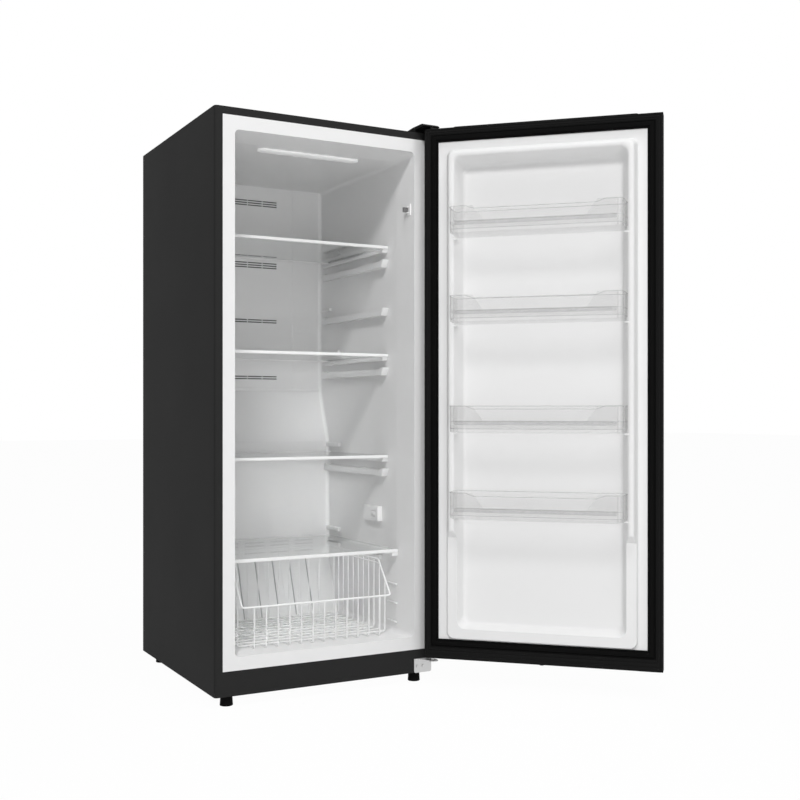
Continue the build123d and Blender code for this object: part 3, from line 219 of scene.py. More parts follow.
def skin_material(name, colour, rough, grain_scale, grain_depth, change=0.04, dust_amount=0.0,
                  metallic=0.0, coat=0.0, specular=0.5):
    """Painted, moulded or bare surface with its own grain, cloud and dust."""
    material, tree, shader, where, grain = grained_material(name, colour, rough, grain_scale,
                                                            change)
    if dust_amount:
        layer = add_group(tree, dust, where, Amount=dust_amount)
        connect(tree, (grain.outputs["Colour"], layer.inputs["Colour"]),
                (layer.outputs["Colour"], shader.inputs["Base Color"]))
    bump = tree.nodes.new("ShaderNodeBump")
    bump.inputs["Distance"].default_value = grain_depth
    connect(tree, (grain.outputs["Height"], bump.inputs["Height"]),
            (bump.outputs["Normal"], shader.inputs["Normal"]))
    shader.inputs["Metallic"].default_value = metallic
    shader.inputs["Coat Weight"].default_value = coat
    shader.inputs["Specular IOR Level"].default_value = specular
    return material


def clear_material(name, colour, rough, ior, passed):
    """Clear glass that lets a share of the light through to what lies behind."""
    material, tree, shader, _, _ = grained_material(name, colour, rough, 35.0, 0.02)
    shader.inputs["Transmission Weight"].default_value = 1.0
    shader.inputs["IOR"].default_value = ior
    alpha = between(tree, rays(tree, "Shadow", "Diffuse"), 1.0, 1.0 - passed)
    connect(tree, (alpha, shader.inputs["Alpha"]))
    return material


def film_material(name, colour, thin, thick, rough=(0.08, 0.14), shade=0.06):
    """Thin clear moulding: it covers little where it faces the eye and more along its edges."""
    material, tree, shader, _, _ = grained_material(name, colour, rough, 60.0, 0.03)
    edge = tree.nodes.new("ShaderNodeLayerWeight")
    edge.inputs["Blend"].default_value = 0.35
    cover = tree.nodes.new("ShaderNodeMix")
    cover.inputs["B"].default_value = shade
    connect(tree, (rays(tree, "Shadow", "Diffuse"), cover.inputs["Factor"]),
            (between(tree, edge.outputs["Facing"], thin, thick), cover.inputs["A"]),
            (cover.outputs["Result"], shader.inputs["Alpha"]))
    return material


def glow_material(name, colour, strength):
    """Diffuser of the lamp: white plastic that shines softly."""
    material, tree, shader, _, grain = grained_material(name, colour, (0.4, 0.5), 900.0, 0.02)
    connect(tree, (grain.outputs["Colour"], shader.inputs["Emission Color"]))
    shader.inputs["Emission Strength"].default_value = strength
    return material


# Each row: colour, roughness from and to, grain scale, grain depth in metres, change of
# colour, and the other values where they differ.
skins = {
    "dark_paint": (tone(46), (0.42, 0.5), 1400, 0.00004, 0.05,
                   {"dust_amount": 0.03, "specular": 0.01}),
    "grey_steel": (tone(120), (0.45, 0.6), 500, 0.00005, 0.12,
                   {"dust_amount": 0.15, "metallic": 0.8}),
    "white_paint": (tone(231), (0.3, 0.36), 1200, 0.00002, 0.015, {}),
    "liner_white": (tone(237), (0.3, 0.38), 700, 0.00003, 0.02, {}),
    "white_plastic": (tone(240), (0.32, 0.42), 900, 0.00003, 0.02, {}),
    "dark_plastic": (tone(44), (0.45, 0.55), 800, 0.00006, 0.06,
                     {"dust_amount": 0.04, "specular": 0.01}),
    "black_plastic": (tone(16), (0.5, 0.62), 700, 0.00008, 0.1,
                      {"dust_amount": 0.02, "specular": 0.03}),
    "gasket_rubber": (tone(15), (0.55, 0.68), 900, 0.00005, 0.08, {"specular": 0.03}),
    "zinc_steel": (tone(205), (0.28, 0.42), 420, 0.00004, 0.08, {"metallic": 1.0}),
    # Whiter than the liner: a painted highlight for the corner coves.
    "gloss_trim": (tone(250), (0.1, 0.16), 600, 0.00001, 0.01, {"coat": 1.0}),
    # Pale non-metal colour: a painted reflection for the top of the lower hinge arm.
    "bright_plate": (tone(222), (0.35, 0.5), 500, 0.00003, 0.05, {}),
    "door_white": (tone(231), (0.3, 0.4), 1200, 0.00003, 0.02, {}),
    "rim_black": (tone(27), (0.4, 0.5), 700, 0.00005, 0.08, {"specular": 0.03}),
    # Painted shade: the dark and grey sheets behind the duct outlets and the return grille.
    "duct_foam": (tone(112), (0.8, 0.95), 300, 0.0003, 0.2, {"specular": 0.05}),
    "grey_foam": (tone(150), (0.8, 0.95), 300, 0.0003, 0.2, {"specular": 0.05}),
    "lever_grey": (tone(110), (0.4, 0.5), 900, 0.00003, 0.02, {}),
    # Painted shade for the narrow grooves of the hump.
    "groove_grey": (tone(185), (0.8, 0.95), 300, 0.0003, 0.2, {"specular": 0.05}),
    "foam": (tone(225, (1.0, 0.9, 0.68)), (0.8, 0.95), 260, 0.0004, 0.1, {}),
    "fin_aluminium": (tone(205), (0.3, 0.45), 500, 0.00004, 0.06, {"metallic": 1.0}),
    "black_steel": (tone(24), (0.35, 0.5), 600, 0.00006, 0.1, {"dust_amount": 0.12}),
    "copper": (tone(215, (1.0, 0.5, 0.28)), (0.25, 0.4), 500, 0.00003, 0.1, {"metallic": 1.0}),
    "white_wire": (tone(242), (0.25, 0.33), 800, 0.00002, 0.02, {"coat": 0.3}),
}
finishes = {name: skin_material(name, *values, **more) for name, (*values, more) in skins.items()}
finishes["clear_glass"] = clear_material("clear_glass", (0.965, 0.98, 0.975, 1.0), (0.0, 0.02),
                                         1.35, 0.5)
finishes["clear_plastic"] = film_material("clear_plastic", tone(185), 0.03, 0.3)
finishes["frosted_band"] = film_material("frosted_band", tone(160), 0.2, 0.3, (0.3, 0.4))
finishes["clear_frame"] = film_material("clear_frame", tone(175), 0.1, 0.22)
finishes["bright_edge"] = film_material("bright_edge", tone(185), 0.45, 0.8)
finishes["frosted_lens"] = glow_material("frosted_lens", (1.0, 1.0, 1.0, 1.0), 0.15)


def dress(piece, finish):
    """Give a piece one finish on every face."""
    piece.data.materials.clear()
    piece.data.materials.append(finishes[finish])


for part in frame["record"]["subparts"]:
    piece = nodes[part["node"]]
    for slot_index in range(max(1, len(piece.material_slots))):
        if not piece.material_slots:
            piece.data.materials.append(None)
        piece.material_slots[slot_index].material = finishes[part["material_slot"]]
dress(nodes["top_hinge_bracket"], "black_steel")
dress(nodes["switch_lever"], "lever_grey")


# ---- Shapes shared by the new pieces ----
front = cabinet_low.y
door_gap = 0.010
door_width = 0.714
pin_to_edge = 0.0184
hinge_edge = pivot.x + pin_to_edge
door_middle = hinge_edge - door_width / 2
door_inner = front - door_gap
door_low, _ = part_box("door_bottom_cap")
stop_height = 0.006
door_bottom = door_low.z + stop_height
door_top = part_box("hinge_bushes")[1].z


def select_only(*pieces):
    """Select these pieces alone and make the first one active."""
    bpy.ops.object.select_all(action="DESELECT")
    for piece in pieces:
        piece.select_set(True)
    bpy.context.view_layer.objects.active = pieces[0]


def join_pieces(parts):
    """Join pieces into the first one."""
    select_only(*parts)
    bpy.ops.object.join()
    return bpy.context.object


def finish_piece(piece, name, body, finish, angle=30, replaced=()):
    """Name a piece, smooth it, give it its finish and let it ride on its body."""
    piece.name = name
    select_only(piece)
    bpy.ops.object.transform_apply(location=True, rotation=True, scale=True)
    bpy.ops.object.shade_smooth_by_angle(angle=radians(angle))
    dress(piece, finish)
    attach(piece, body)
    if replaced:
        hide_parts(*replaced)
    bpy.ops.object.select_all(action="DESELECT")
    return piece


def rounded_path(corners, radius, steps=6):
    """Points of a path whose inner corners are rounded off."""
    points = [Vector(corners[0])]
    for before, corner, after in zip(corners, corners[1:], corners[2:]):
        before, corner, after = Vector(before), Vector(corner), Vector(after)
        inward, outward = before - corner, after - corner
        reach = min(radius, 0.45 * inward.length, 0.45 * outward.length)
        start = corner + reach * inward.normalized()
        end = corner + reach * outward.normalized()
        for step in range(steps + 1):
            t = step / steps
            points.append((1 - t) ** 2 * start + 2 * t * (1 - t) * corner + t ** 2 * end)
    return points + [Vector(corners[-1])]


def spaced(start, stop, pitch):
    """Evenly spaced values between two ends, near a wanted pitch."""
    count = max(1, round((stop - start) / pitch))
    return [start + (stop - start) * index / count for index in range(count + 1)]


def wire_mesh(name, wires):
    """One mesh of round wires: each wire is (points, radius, closed)."""
    parts = []
    for index, (points, radius, closed) in enumerate(wires):
        curve = bpy.data.curves.new(f"{name}_{index}", "CURVE")
        curve.dimensions = "3D"
        curve.bevel_depth = radius
        curve.bevel_resolution = 2
        curve.use_fill_caps = True
        spline = curve.splines.new("POLY")
        spline.points.add(len(points) - 1)
        for item, point in zip(spline.points, points):
            item.co = (*point, 1.0)
        spline.use_cyclic_u = closed
        wire = bpy.data.objects.new(curve.name, curve)
        scene.collection.objects.link(wire)
        parts.append(wire)
    select_only(*parts)
    bpy.ops.object.convert(target="MESH")
    bpy.ops.object.join()
    return bpy.context.object


def turn_faces_out(piece):
    """Merge doubled points and turn a mesh's faces so that they agree."""
    select_only(piece)
    bpy.ops.object.mode_set(mode="EDIT")
    bpy.ops.mesh.select_all(action="SELECT")
    bpy.ops.mesh.remove_doubles(threshold=1e-6)
    bpy.ops.mesh.normals_make_consistent(inside=False)
    bpy.ops.object.mode_set(mode="OBJECT")


def ring_mesh(name, loops, close_last=False, close_first=False):
    """Mesh of quads between loops of the same length; each loop is a list of 3-D points."""
    count = len(loops[0])
    vertices = [point for loop in loops for point in loop]
    faces = []
    for row in range(len(loops) - 1):
        for index in range(count):
            after = (index + 1) % count
            faces.append((row * count + index, row * count + after,
                          (row + 1) * count + after, (row + 1) * count + index))
    if close_last:
        faces.append(tuple((len(loops) - 1) * count + index for index in range(count)))
    if close_first:
        faces.append(tuple(reversed(range(count))))
    mesh = bpy.data.meshes.new(name)
    mesh.from_pydata(vertices, [], faces)
    mesh.validate()
    piece = bpy.data.objects.new(name, mesh)
    scene.collection.objects.link(piece)
    turn_faces_out(piece)
    return piece


def solid_between(name, first, last):
    """Closed solid between two loops."""
    return ring_mesh(name, [first, last], close_last=True, close_first=True)


def add_wall(piece, thickness, offset=-1.0):
    """Give an open shell its wall."""
    bpy.context.view_layer.objects.active = piece
    solidify = piece.modifiers.new("wall", "SOLIDIFY")
    solidify.thickness = thickness
    solidify.offset = offset
    bpy.ops.object.modifier_apply(modifier=solidify.name)


def round_edges(piece, width, segments=2, angle=None):
    """Round a piece's edges, or only those sharper than an angle in degrees."""
    bevel = piece.modifiers.new("edge", "BEVEL")
    bevel.width = width
    bevel.segments = segments
    if angle:
        bevel.limit_method = "ANGLE"
        bevel.angle_limit = radians(angle)
    bpy.ops.object.modifier_apply(modifier=bevel.name)


def block(middle, size):
    """Plain box with its middle and its size given."""
    bpy.ops.mesh.primitive_cube_add(size=1, location=middle)
    piece = bpy.context.object
    piece.scale = size
    bpy.ops.object.transform_apply(location=True, rotation=True, scale=True)
    return piece


def box_piece(low, high, edge):
    """Box between two corners with rounded edges."""
    low, high = Vector(low), Vector(high)
    piece = block((low + high) / 2, high - low)
    round_edges(piece, edge)
    return piece


def soften(node, body, finish, width, slants=()):
    """Copy of a plain solid with its edges rounded, which stands for it.

    Each slant is the depth of a front nose and the height of that nose, whose foot is drawn
    back by half of its height.
    """
    same_place, same_depth = 0.00001, 0.0005
    piece = bpy.data.objects.new(node, nodes[node].data.copy())
    scene.collection.objects.link(piece)
    select_only(piece)
    bpy.ops.object.mode_set(mode="EDIT")
    bpy.ops.mesh.select_all(action="SELECT")
    bpy.ops.mesh.remove_doubles(threshold=same_place)
    bpy.ops.mesh.dissolve_limited(angle_limit=radians(1))
    bpy.ops.object.mode_set(mode="OBJECT")
    for nose_y, nose_height in slants:
        nose = [point for point in piece.data.vertices if abs(point.co.y - nose_y) < same_depth]
        for point in nose:
            above = [other.co.z for other in nose if 0 <= other.co.z - point.co.z < nose_height]
            point.co.y += 0.5 * (max(above) - point.co.z)
    round_edges(piece, width, 3, 40)
    finish_piece(piece, f"{node}_rounded", body, finish, replaced=(node,))


# ---- Basket of bent wire ----
def make_basket():
    """Rim in one thick wire, and thin wires bent into a U across and along the basket."""
    rail, thin, weld = 0.003, 0.002, 0.0005
    shoulder_depth, front_drop, second_rail_drop = 0.150, 0.103, 0.012
    pitch, bend, rim_bend = 0.038, 0.008, 0.009
    low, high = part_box("basket")
    left, right = low.x + rail, high.x - rail
    near, far = low.y + rail, high.y - rail
    shoulder = front + shoulder_depth
    rim_top = high.z - rail
    rail_top = rim_top - front_drop
    grid = low.z + thin
    cross = grid + 2 * thin - weld

    def top_at(y):
        """Rim height over a place along the side."""
        if y >= shoulder:
            return rim_top
        return rail_top + (rim_top - rail_top) * (y - near) / (shoulder - near)

    middle = (left + right) / 2
    rim = rounded_path([(middle, near, rail_top), (right, near, rail_top),
                        (right, shoulder, rim_top), (right, far, rim_top), (left, far, rim_top),
                        (left, shoulder, rim_top), (left, near, rail_top),
                        (middle, near, rail_top)], rim_bend, 8)
    wires = [(rim[:-1], rail, True)]
    for x in (left, right):
        wires.append(([Vector((x, y, rim_top - second_rail_drop)) for y in (shoulder, far)],
                      thin, False))
    for x in spaced(left, right, pitch)[1:-1]:
        path = [(x, near, rail_top), (x, near, grid), (x, far, grid), (x, far, rim_top)]
        wires.append((rounded_path(path, bend), thin, False))
    for y in spaced(near, far, pitch)[1:-1]:
        path = [(left, y, top_at(y)), (left, y, cross), (right, y, cross), (right, y, top_at(y))]
        wires.append((rounded_path(path, bend), thin, False))
    finish_piece(wire_mesh("wire", wires), "basket_wires", "basket", "white_wire",
                 replaced=("basket",))


make_basket()


# ---- Pieces of the door, modelled closed and then swung open ----
def swing_open(piece):
    """Turn a piece's mesh about the hinge pin to the open place."""
    turn = Matrix.Rotation(open_angle, 4, "Z")
    piece.data.transform(Matrix.Translation(pivot) @ turn @ Matrix.Translation(-pivot))
    piece.data.update()


def on_door(u, h, z):
    """Point of the closed door: across from its middle, out of its inner face, and up."""
    return Vector((door_middle + u, door_inner + h, z))


def rectangle_loop(low, high, radius, side_rows=(), corner_steps=8):
    """Points (x, z) round a rectangle with rounded corners; side_rows adds rows on both sides."""
    radius = max(radius, 1e-5)
    points = []
    centres = [(high[0] - radius, low[1] + radius, -pi / 2),
               (high[0] - radius, high[1] - radius, 0),
               (low[0] + radius, high[1] - radius, pi / 2),
               (low[0] + radius, low[1] + radius, pi)]
    for index, (x, z, start) in enumerate(centres):
        for step in range(corner_steps + 1):
            angle = start + pi / 2 * step / corner_steps
            points.append((x + radius * cos(angle), z + radius * sin(angle)))
        if index == 0:
            points += [(high[0], row) for row in side_rows]
        if index == 2:
            points += [(low[0], row) for row in reversed(side_rows)]
    return points


def door_loop(half, low, high, height, radius=0.0, side_rows=(), corner_steps=1):
    """Rectangle round the door's middle at a height over its inner face."""
    flat = rectangle_loop((door_middle - half, low), (door_middle + half, high), radius, side_rows,
                          corner_steps)
    return [Vector((x, door_inner + height, z)) for x, z in flat]


# The raised ring of the inner panel, and the recess inside it
ring_edge = 0.0714
ring_low = door_bottom + 0.063
ring_high = door_top - 0.070
ring_height, ring_low_height = 0.030, 0.010
recess_depth = 0.025
liner_sheet = 0.0012


def ring_profile():
    """Section of the ring as (inset, height, 0): edge, outer slope, crest, step and recess."""
    slope_out, crest, slope_in = 0.0096, 0.016, 0.020
    edge_reach, floor_reach, bend = 0.020, 0.075, 0.0085
    crest_end = slope_out + crest
    drop = (ring_height - ring_low_height) / (ring_height + recess_depth)
    return rounded_path([(-edge_reach, 0, 0), (0, 0, 0),
                         (slope_out * ring_low_height / ring_height, ring_low_height, 0),
                         (slope_out, ring_height, 0), (crest_end, ring_height, 0),
                         (crest_end + slope_in * drop, ring_low_height, 0),
                         (crest_end + slope_in, -recess_depth, 0),
                         (floor_reach, -recess_depth, 0)], bend, 7)


def make_door_liner():
    """Smooth moulded inner panel: flat edge, raised ring with a step, and a deep recess."""
    edge_half = door_width / 2 - 0.0223
    edge_low, edge_high, edge_radius = door_bottom + 0.0353, door_top - 0.0203, 0.001
    ring_radius, radius_growth = 0.020, 0.10
    step_z = cabinet_low.z + 0.450
    rows = [step_z + offset for offset in
            (-0.0280, -0.0240, -0.0215, -0.0175, -0.0130, -0.0085, -0.0045, -0.0020, 0.0020)]
    step_low, step_high = rows[1], rows[-2]
    loops = [door_loop(edge_half, edge_low, edge_high, 0.0, edge_radius, rows, 8)]
    for inset, height, _ in ring_profile():
        half = door_width / 2 - ring_edge - inset
        radius = ring_radius + radius_growth * max(0.0, inset)
        loop = []
        for x, z in rectangle_loop((door_middle - half, ring_low + inset),
                                   (door_middle + half, ring_high - inset), radius, rows):
            share = min(max((z - step_low) / (step_high - step_low), 0.0), 1.0)
            limit = ring_low_height + (ring_height - ring_low_height) * share
            loop.append(Vector((x, door_inner + min(height, limit), z)))
        loops.append(loop)
    piece = ring_mesh("door_panel", loops, close_last=True)
    swing_open(piece)
    outward = piece.data.polygons[-1].normal.dot(Vector((0.7, 0.7, 0))) > 0
    add_wall(piece, liner_sheet, 1.0 if outward else -1.0)
    return piece


def make_bin_lugs():
    """Small rounded ledges on the ring that carry the bins' ends."""
    lug_half_span, lug_out, lug_drop = 0.2560, 0.0200, 0.0030
    lug_size, lug_edge = (0.014, 0.016, 0.005), 0.0015
    parts = []
    for number in range(1, 5):
        low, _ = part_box(f"door_bin_{number}")
        for side in (-1, 1):
            lug = block((door_middle + side * lug_half_span, door_inner + lug_out,
                         low.z - lug_drop), lug_size)
            round_edges(lug, lug_edge)
            parts.append(lug)
    return parts


door_panel = make_door_liner()
lugs = join_pieces(make_bin_lugs())
swing_open(lugs)
finish_piece(join_pieces([door_panel, lugs]), "door_inner_panel", "door", "door_white", 32,
             replaced=("door_liner",))


# The seal's distance from the door's edges: at the sides, the foot and the head
seal_inset, seal_foot, seal_head = 0.020, 0.0375, 0.020


def make_gasket():
    """Bellows seal: a flat magnet band, two soft folds and a thin outer lip."""
    low, high = door_bottom + seal_foot, door_top - seal_head
    half = door_width / 2 - seal_inset
    profile = [(0.0006, 0.0), (0.0000, 0.0030), (0.0012, 0.0052), (0.0030, 0.0056),
               (0.0042, 0.0044), (0.0054, 0.0050), (0.0062, 0.0088), (0.0076, 0.0097),
               (0.0165, 0.0097), (0.0178, 0.0088), (0.0184, 0.0060), (0.0194, 0.0050),
               (0.0206, 0.0058), (0.0224, 0.0052), (0.0238, 0.0030), (0.0240, 0.0)]
    loops = [door_loop(half - inset, low + inset, high - inset, height)
             for inset, height in profile]
    piece = ring_mesh("gasket", loops + [loops[0]])
    swing_open(piece)
    finish_piece(piece, "door_seal", "door", "gasket_rubber", 40, replaced=("door_gasket",))


def make_rim_frame():
    """Black moulded frame over the folded skin, with lengthwise grooves, round the seal."""
    clear, tuck = 0.0005, 0.0001
    outer = (door_width / 2 - clear, door_bottom + clear, door_top - clear)
    inner = (door_width / 2 - seal_inset + tuck, door_bottom + seal_foot - tuck,
             door_top - seal_head + tuck)
    profile = [(0.0, 0.0001), (0.0, 0.0010), (0.05, 0.0018), (0.26, 0.0018), (0.31, 0.0006),
               (0.38, 0.0006), (0.43, 0.0020), (0.66, 0.0020), (0.70, 0.0008), (0.76, 0.0008),
               (0.80, 0.0022), (0.96, 0.0022), (1.0, 0.0012), (1.0, 0.0001)]
    loops = []
    for share, height in profile:
        half, low, high = (out + (into - out) * share for out, into in zip(outer, inner))
        loops.append(door_loop(half, low, high, height))
    piece = ring_mesh("rim", loops + [loops[0]])
    swing_open(piece)
    finish_piece(piece, "door_rim_frame", "door", "rim_black", 30)


make_gasket()
make_rim_frame()


# ---- Door bins ----
bin_back_half, bin_shoulder_half, bin_front_half = 0.2505, 0.2585, 0.2530
bin_back, bin_shoulder, bin_reach = 0.015, 0.031, 0.1185
bin_corner, bin_wall = 0.022, 0.0022
slant_out, slant_in = bin_front_half - 0.050, bin_front_half - 0.075
band_low, band_high = 0.023, 0.036
frame_half, frame_foot = 0.236, 0.012
frame_slant_out, frame_slant_in = 0.182, 0.150
frame_faces, band_faces, band_edge = (0.1186, 0.1198), (0.1199, 0.1203), 0.0001
edge_radius, seam_radius, edge_drop = 0.0009, 0.0008, 0.0006
bin_seams = ((0.0004, 0.034), (0.0012, 0.0125))  # drawn in, height
bin_posts = ((0.2515, 0.100), (0.2385, 0.1170))  # from the middle, out from the door
post_foot, post_gap = 0.003, 0.001
# Rows of a bin's wall below its top edge: drawn in, height
bin_levels = ((0.0, 0.036), (0.0, 0.034), (0.0, 0.014), (0.0015, 0.012), (0.0020, 0.004),
              (0.0045, 0.001), (0.0080, 0.0))


def bin_outline():
    """Plan of a bin, from its back left round its front: points (u from the middle, h)."""
    points = [(-bin_back_half, bin_back), (-bin_shoulder_half, bin_shoulder)]
    turn = rounded_path([(-bin_shoulder_half, bin_shoulder, 0), (-bin_front_half, bin_reach, 0),
                         (0, bin_reach, 0)], bin_corner, 6)[1:-1]
    points += [(point.x, point.y) for point in turn]
    points += [(-slant_out, bin_reach), (-slant_in, bin_reach), (0.0, bin_reach)]
    return points + [(-u, h) for u, h in reversed(points[:-1])]


def make_bin(number):
    """Clear open box with a raised frame at both ends, a frosted band and bright edges."""
    body = f"door_bin_{number}"
    low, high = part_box(body)
    bottom, top = low.z, high.z
    outline = bin_outline()

    def edge_z(u, h):
        """Height of the top edge over a place on the plan."""
        pane_drop, front_pane = 0.009, 0.115
        if h < front_pane:
            return top
        share = min(max((slant_out - abs(u)) / (slant_out - slant_in), 0.0), 1.0)
        return top - pane_drop * share

    def level(inset, height):
        """One loop of the box, drawn in from the outline and at a height above its bottom."""
        mean_half, back_half_ends = 0.25, 0.06
        shrink = 1 - inset / mean_half
        return [Vector((door_middle + u * shrink, door_inner + h - inset * (h > back_half_ends),
                        bottom + height)) for u, h in outline]

    loops = [[on_door(u, h, edge_z(u, h)) for u, h in outline]]
    loops += [level(inset, height) for inset, height in bin_levels]
    shell = ring_mesh("bin", loops, close_last=True)
    add_wall(shell, bin_wall)
    swing_open(shell)
    finish_piece(shell, f"{body}_shell", body, "clear_plastic", 35, replaced=(body,))

    wires = [([point + Vector((0, 0, -edge_drop)) for point in loops[0]], edge_radius, True)]
    wires += [(level(inset, height)[1:-1], seam_radius, False) for inset, height in bin_seams]
    for side in (-1, 1):
        for u, h in bin_posts:
            ends = [on_door(side * u, h, z) for z in (bottom + post_foot, top - post_gap)]
            wires.append((ends, edge_radius, False))
    edges = wire_mesh("edge", wires)
    swing_open(edges)
    finish_piece(edges, f"{body}_edges", body, "bright_edge")

    end_frame = [(frame_half, frame_foot), (frame_half, top - bottom),
                 (frame_slant_out, top - bottom), (frame_slant_in, band_high)]
    end_frame += [(-u, z) for u, z in reversed(end_frame)]
    plate = solid_between("frame", *([on_door(u, h, bottom + z) for u, z in end_frame]
                                     for h in frame_faces))
    swing_open(plate)
    finish_piece(plate, f"{body}_frame", body, "clear_frame")
    band = box_piece(on_door(-frame_half, band_faces[0], bottom + band_low),
                     on_door(frame_half, band_faces[1], bottom + band_high), band_edge)
    swing_open(band)
    finish_piece(band, f"{body}_band", body, "frosted_band")


for bin_number in range(1, 5):
    make_bin(bin_number)


# ---- Trim inside the food space ----
duct_low, duct_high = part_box("duct_cover")
cover_low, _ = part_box("evaporator_cover")
lens_low, lens_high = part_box("led_lens")
base = cabinet_low.z
cover_face = cover_low.y + 0.003
outlets = ((1.540, 3), (1.323, 3), (1.127, 2), (0.9285, 2))  # height over the base, rows of slots
hair = 0.0004


def make_duct_lining():
    """Dark sheet behind the outlets and a grey one behind the return grille: painted shade that darkens the
    openings where the ducts lie in shadow.
    """
    duct_half, duct_foot, duct_head = 0.135, 0.004, 0.03
    grille_half, grille_foot, grille_head = 0.235, 0.300, 0.362
    edge = 0.001
    lining = box_piece((-duct_half, duct_high.y + 0.0005, duct_low.z + duct_foot),
                       (duct_half, duct_high.y + 0.0035, duct_high.z - duct_head), edge)
    finish_piece(lining, "duct_lining", "cabinet", "duct_foam")
    grille = box_piece((-grille_half, cover_face + 0.0035, base + grille_foot),
                       (grille_half, cover_face + 0.0065, base + grille_head), edge)
    finish_piece(grille, "grille_lining", "cabinet", "grey_foam")


def make_vent_bars():
    """Upright bars that divide each outlet's slots."""
    outlet_half, pitch, row_half, bar_half = 0.110, 0.055, 0.004, 0.0014
    bars = []
    for height, rows in outlets:
        half = rows * row_half
        for x in spaced(-outlet_half, outlet_half, pitch)[1:-1]:
            bars.append(box_piece((x - bar_half, duct_low.y + 0.0004, base + height - half),
                                  (x + bar_half, duct_low.y + 0.0026, base + height + half),
                                  hair))
    finish_piece(join_pieces(bars), "vent_bars", "cabinet", "liner_white")


def make_coves():
    """Concave fillet strips where the back covers meet the side walls; their white, brighter than the liner's, is
    a painted highlight along the corners.
    """
    width, steps, lift = 0.013, 6, 0.0003
    path = [(duct_low.y, duct_high.z), (duct_low.y, duct_low.z), (cover_face, base + 0.705),
            (cover_face, cover_low.z)]
    parts = []
    for side in (-1, 1):
        rows = []
        for y, z in path:
            corner_x = side * (duct_high.x + hair)
            row = []
            for step in range(steps + 1):
                angle = pi / 2 * step / steps
                row.append(Vector((corner_x - side * width * (1 - sin(angle)),
                                   y - width * (1 - cos(angle)) + lift, z)))
            row.append(Vector((corner_x, y + lift, z)))
            rows.append(row)
        parts.append(ring_mesh("cove", rows))
    finish_piece(join_pieces(parts), "back_corner_coves", "cabinet", "gloss_trim", 60)


def make_lens():
    """Lamp cover with rounded ends, let into the ceiling."""
    depth, end_radius, edge = 0.038, 0.0175, 0.0012
    lens = block(Vector((0, lens_low.y + depth / 2, (lens_low.z + lens_high.z) / 2)),
                 (lens_high.x - lens_low.x, depth, lens_high.z - lens_low.z))
    bpy.ops.object.mode_set(mode="EDIT")
    bpy.ops.mesh.select_all(action="DESELECT")
    bpy.ops.mesh.select_mode(type="EDGE")
    bpy.ops.object.mode_set(mode="OBJECT")
    for side in lens.data.edges:
        first, second = (lens.data.vertices[index].co for index in side.vertices)
        side.select = abs(first.z - second.z) > 0.001
    bpy.ops.object.mode_set(mode="EDIT")
    bpy.ops.mesh.bevel(offset=end_radius, segments=8)
    bpy.ops.object.mode_set(mode="OBJECT")
    round_edges(lens, edge, angle=30)
    finish_piece(lens, "lamp_lens", "cabinet", "frosted_lens", 35, replaced=("led_lens",))


def make_hump_groove_shade():
    """Thin grey strips on the sloping face of the hump: painted shade that draws the dark inside its narrow
    grooves.
    """
    pitch, half_width, side_count = 0.063, 0.0015, 3
    foot_y, head_y = cover_face - 0.068, cover_face
    foot_z, head_z = base + 0.111, base + 0.294
    strips = []
    for index in range(-side_count, side_count + 1):
        x0, x1 = index * pitch - half_width, index * pitch + half_width
        first, last = ([Vector((x0, foot_y - lift, foot_z)), Vector((x1, foot_y - lift, foot_z)),
                        Vector((x1, head_y - lift, head_z)), Vector((x0, head_y - lift, head_z))]
                       for lift in (0.0004, 0.0026))
        strips.append(solid_between("groove", first, last))
    finish_piece(join_pieces(strips), "hump_groove_strips", "cabinet", "groove_grey")


def make_duct_lip():
    """Rounded lip along the foot of the upper cover."""
    end_gap, edge = 0.006, 0.0015
    lip = box_piece((duct_low.x + end_gap, duct_low.y - 0.004, duct_low.z - 0.001),
                    (duct_high.x - end_gap, duct_low.y + 0.001, duct_low.z + 0.009), edge)
    finish_piece(lip, "duct_cover_lip", "cabinet", "white_plastic")


# ---- Hinge trim ----
def make_hinge_cap():
    """Low wedge over the top bracket, with a flat brow over the pin."""
    low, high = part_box("top_hinge_cover")
    rim, brow = low.z + 0.0085, high.z - 0.007
    brow_rise, brow_start, brow_end, back_height = 0.006, 0.010, 0.068, 0.008
    side = [(low.y, rim), (low.y, brow - brow_rise), (low.y + brow_start, brow),
            (low.y + brow_end, brow), (high.y, low.z + back_height), (high.y, low.z),
            (front, low.z), (front, rim)]
    cap = solid_between("cap", *([Vector((x, y, z)) for y, z in side] for x in (low.x, high.x)))
    finish_piece(cap, "top_hinge_cap", "cabinet", "black_plastic", replaced=("top_hinge_cover",))


def make_hinge_web():
    """Flat web of the lower bracket, which widens its arm towards the cabinet. Its pale, non-metal colour is a
    painted reflection for the bright top of the metal arm.
    """
    low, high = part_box("bottom_hinge_bracket")
    inset, corner, arm, sheet = 0.001, 0.006, 0.042, 0.0028
    top = low.z + 0.0432
    outline = [(low.x + inset, front - inset), (high.x - inset, front - inset),
               (high.x - inset, low.y + corner), (high.x - corner, low.y + inset),
               (low.x + arm, low.y + inset)]
    web = solid_between("web", *([Vector((x, y, z)) for x, y in outline]
                                 for z in (top - sheet, top)))
    finish_piece(web, "hinge_arm_web", "cabinet", "bright_plate")


make_duct_lining()
make_vent_bars()
make_coves()
make_lens()
make_duct_lip()
make_hump_groove_shade()
make_hinge_cap()
make_hinge_web()
nose_slants = ((front + 0.153, 0.026), (front + 0.157, 0.014))
for hand in ("left", "right"):
    soften(f"shelf_runners_{hand}", "cabinet", "liner_white", 0.0026, nose_slants)
soften("thermostat_box", "cabinet", "white_plastic", 0.0015)


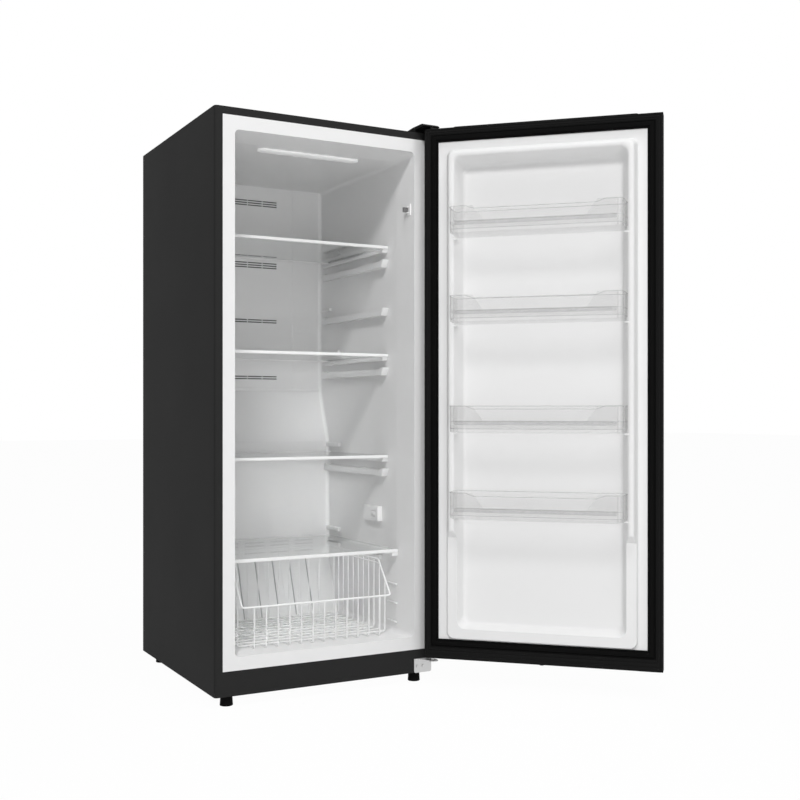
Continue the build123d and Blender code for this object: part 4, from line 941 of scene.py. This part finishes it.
# ---- Room: floor, light and camera ----
def white_for_the_eye(name, level, share):
    """Diffuse surface that shows as white to the camera and in glass, and keeps a soft shadow."""
    material, tree, shader = new_material(name)
    shader.inputs["Base Color"].default_value = tone(level)
    shader.inputs["Roughness"].default_value = 0.9
    seen = rays(tree, "Camera", "Glossy", "Transmission")
    white = tree.nodes.new("ShaderNodeEmission")
    mix = tree.nodes.new("ShaderNodeMixShader")
    connect(tree, (calculate(tree, "MULTIPLY", seen, share), mix.inputs[0]),
            (shader.outputs[0], mix.inputs[1]), (white.outputs[0], mix.inputs[2]),
            (mix.outputs[0], tree.nodes["Material Output"].inputs["Surface"]))
    return material


def make_floor():
    """Wide pale floor under the feet."""
    bpy.ops.mesh.primitive_plane_add(size=60, location=(0, 0, 0))
    floor = bpy.context.object
    floor.name = "floor"
    floor.data.materials.append(white_for_the_eye("floor_white", 235, 0.975))


def make_world(ambient):
    """Soft surrounding light that shows as white where it is seen."""
    world = bpy.data.worlds.new("studio")
    scene.world = world
    world.use_nodes = True
    tree = world.node_tree
    background = tree.nodes["Background"]
    seen = rays(tree, "Camera", "Glossy", "Transmission")
    connect(tree, (between(tree, seen, ambient, 1.0), background.inputs["Strength"]))
    background.inputs["Color"].default_value = (1, 1, 1, 1)


def area_lamp(name, place, target, size, power):
    """Large soft lamp aimed at a point."""
    data = bpy.data.lights.new(name, "AREA")
    data.shape = "SQUARE"
    data.size = size
    data.energy = power
    lamp = bpy.data.objects.new(name, data)
    scene.collection.objects.link(lamp)
    lamp.location = place
    lamp.visible_glossy = False
    aim = Vector(target) - Vector(place)
    lamp.rotation_euler = aim.to_track_quat("-Z", "Y").to_euler()


def make_camera():
    """Level camera in front of the left corner, turned towards the open door."""
    data = bpy.data.cameras.new("view")
    data.sensor_width = 36
    data.lens = 50.03
    data.shift_y = 0.0144
    camera = bpy.data.objects.new("view", data)
    scene.collection.objects.link(camera)
    camera.location = (cabinet_low.x - 1.0519, cabinet_low.y - 2.9966, cabinet_low.z + 0.8095)
    camera.rotation_euler = (radians(90), 0, -radians(28.8))
    scene.camera = camera


make_floor()
make_world(0.15)
area_lamp("key", (-3.1, -5.0, 6.0), (0.15, 0, 0.9), 1.3, 262)
area_lamp("overhead", (0.5, -2.6, 6.5), (0.5, -0.6, 0.9), 1.8, 150)
area_lamp("fill", (-0.7, -3.4, 0.3), (0.3, 0, 0.6), 1.8, 32)
make_camera()
scene.view_settings.view_transform = "Standard"
scene.cycles.transparent_max_bounces = 32
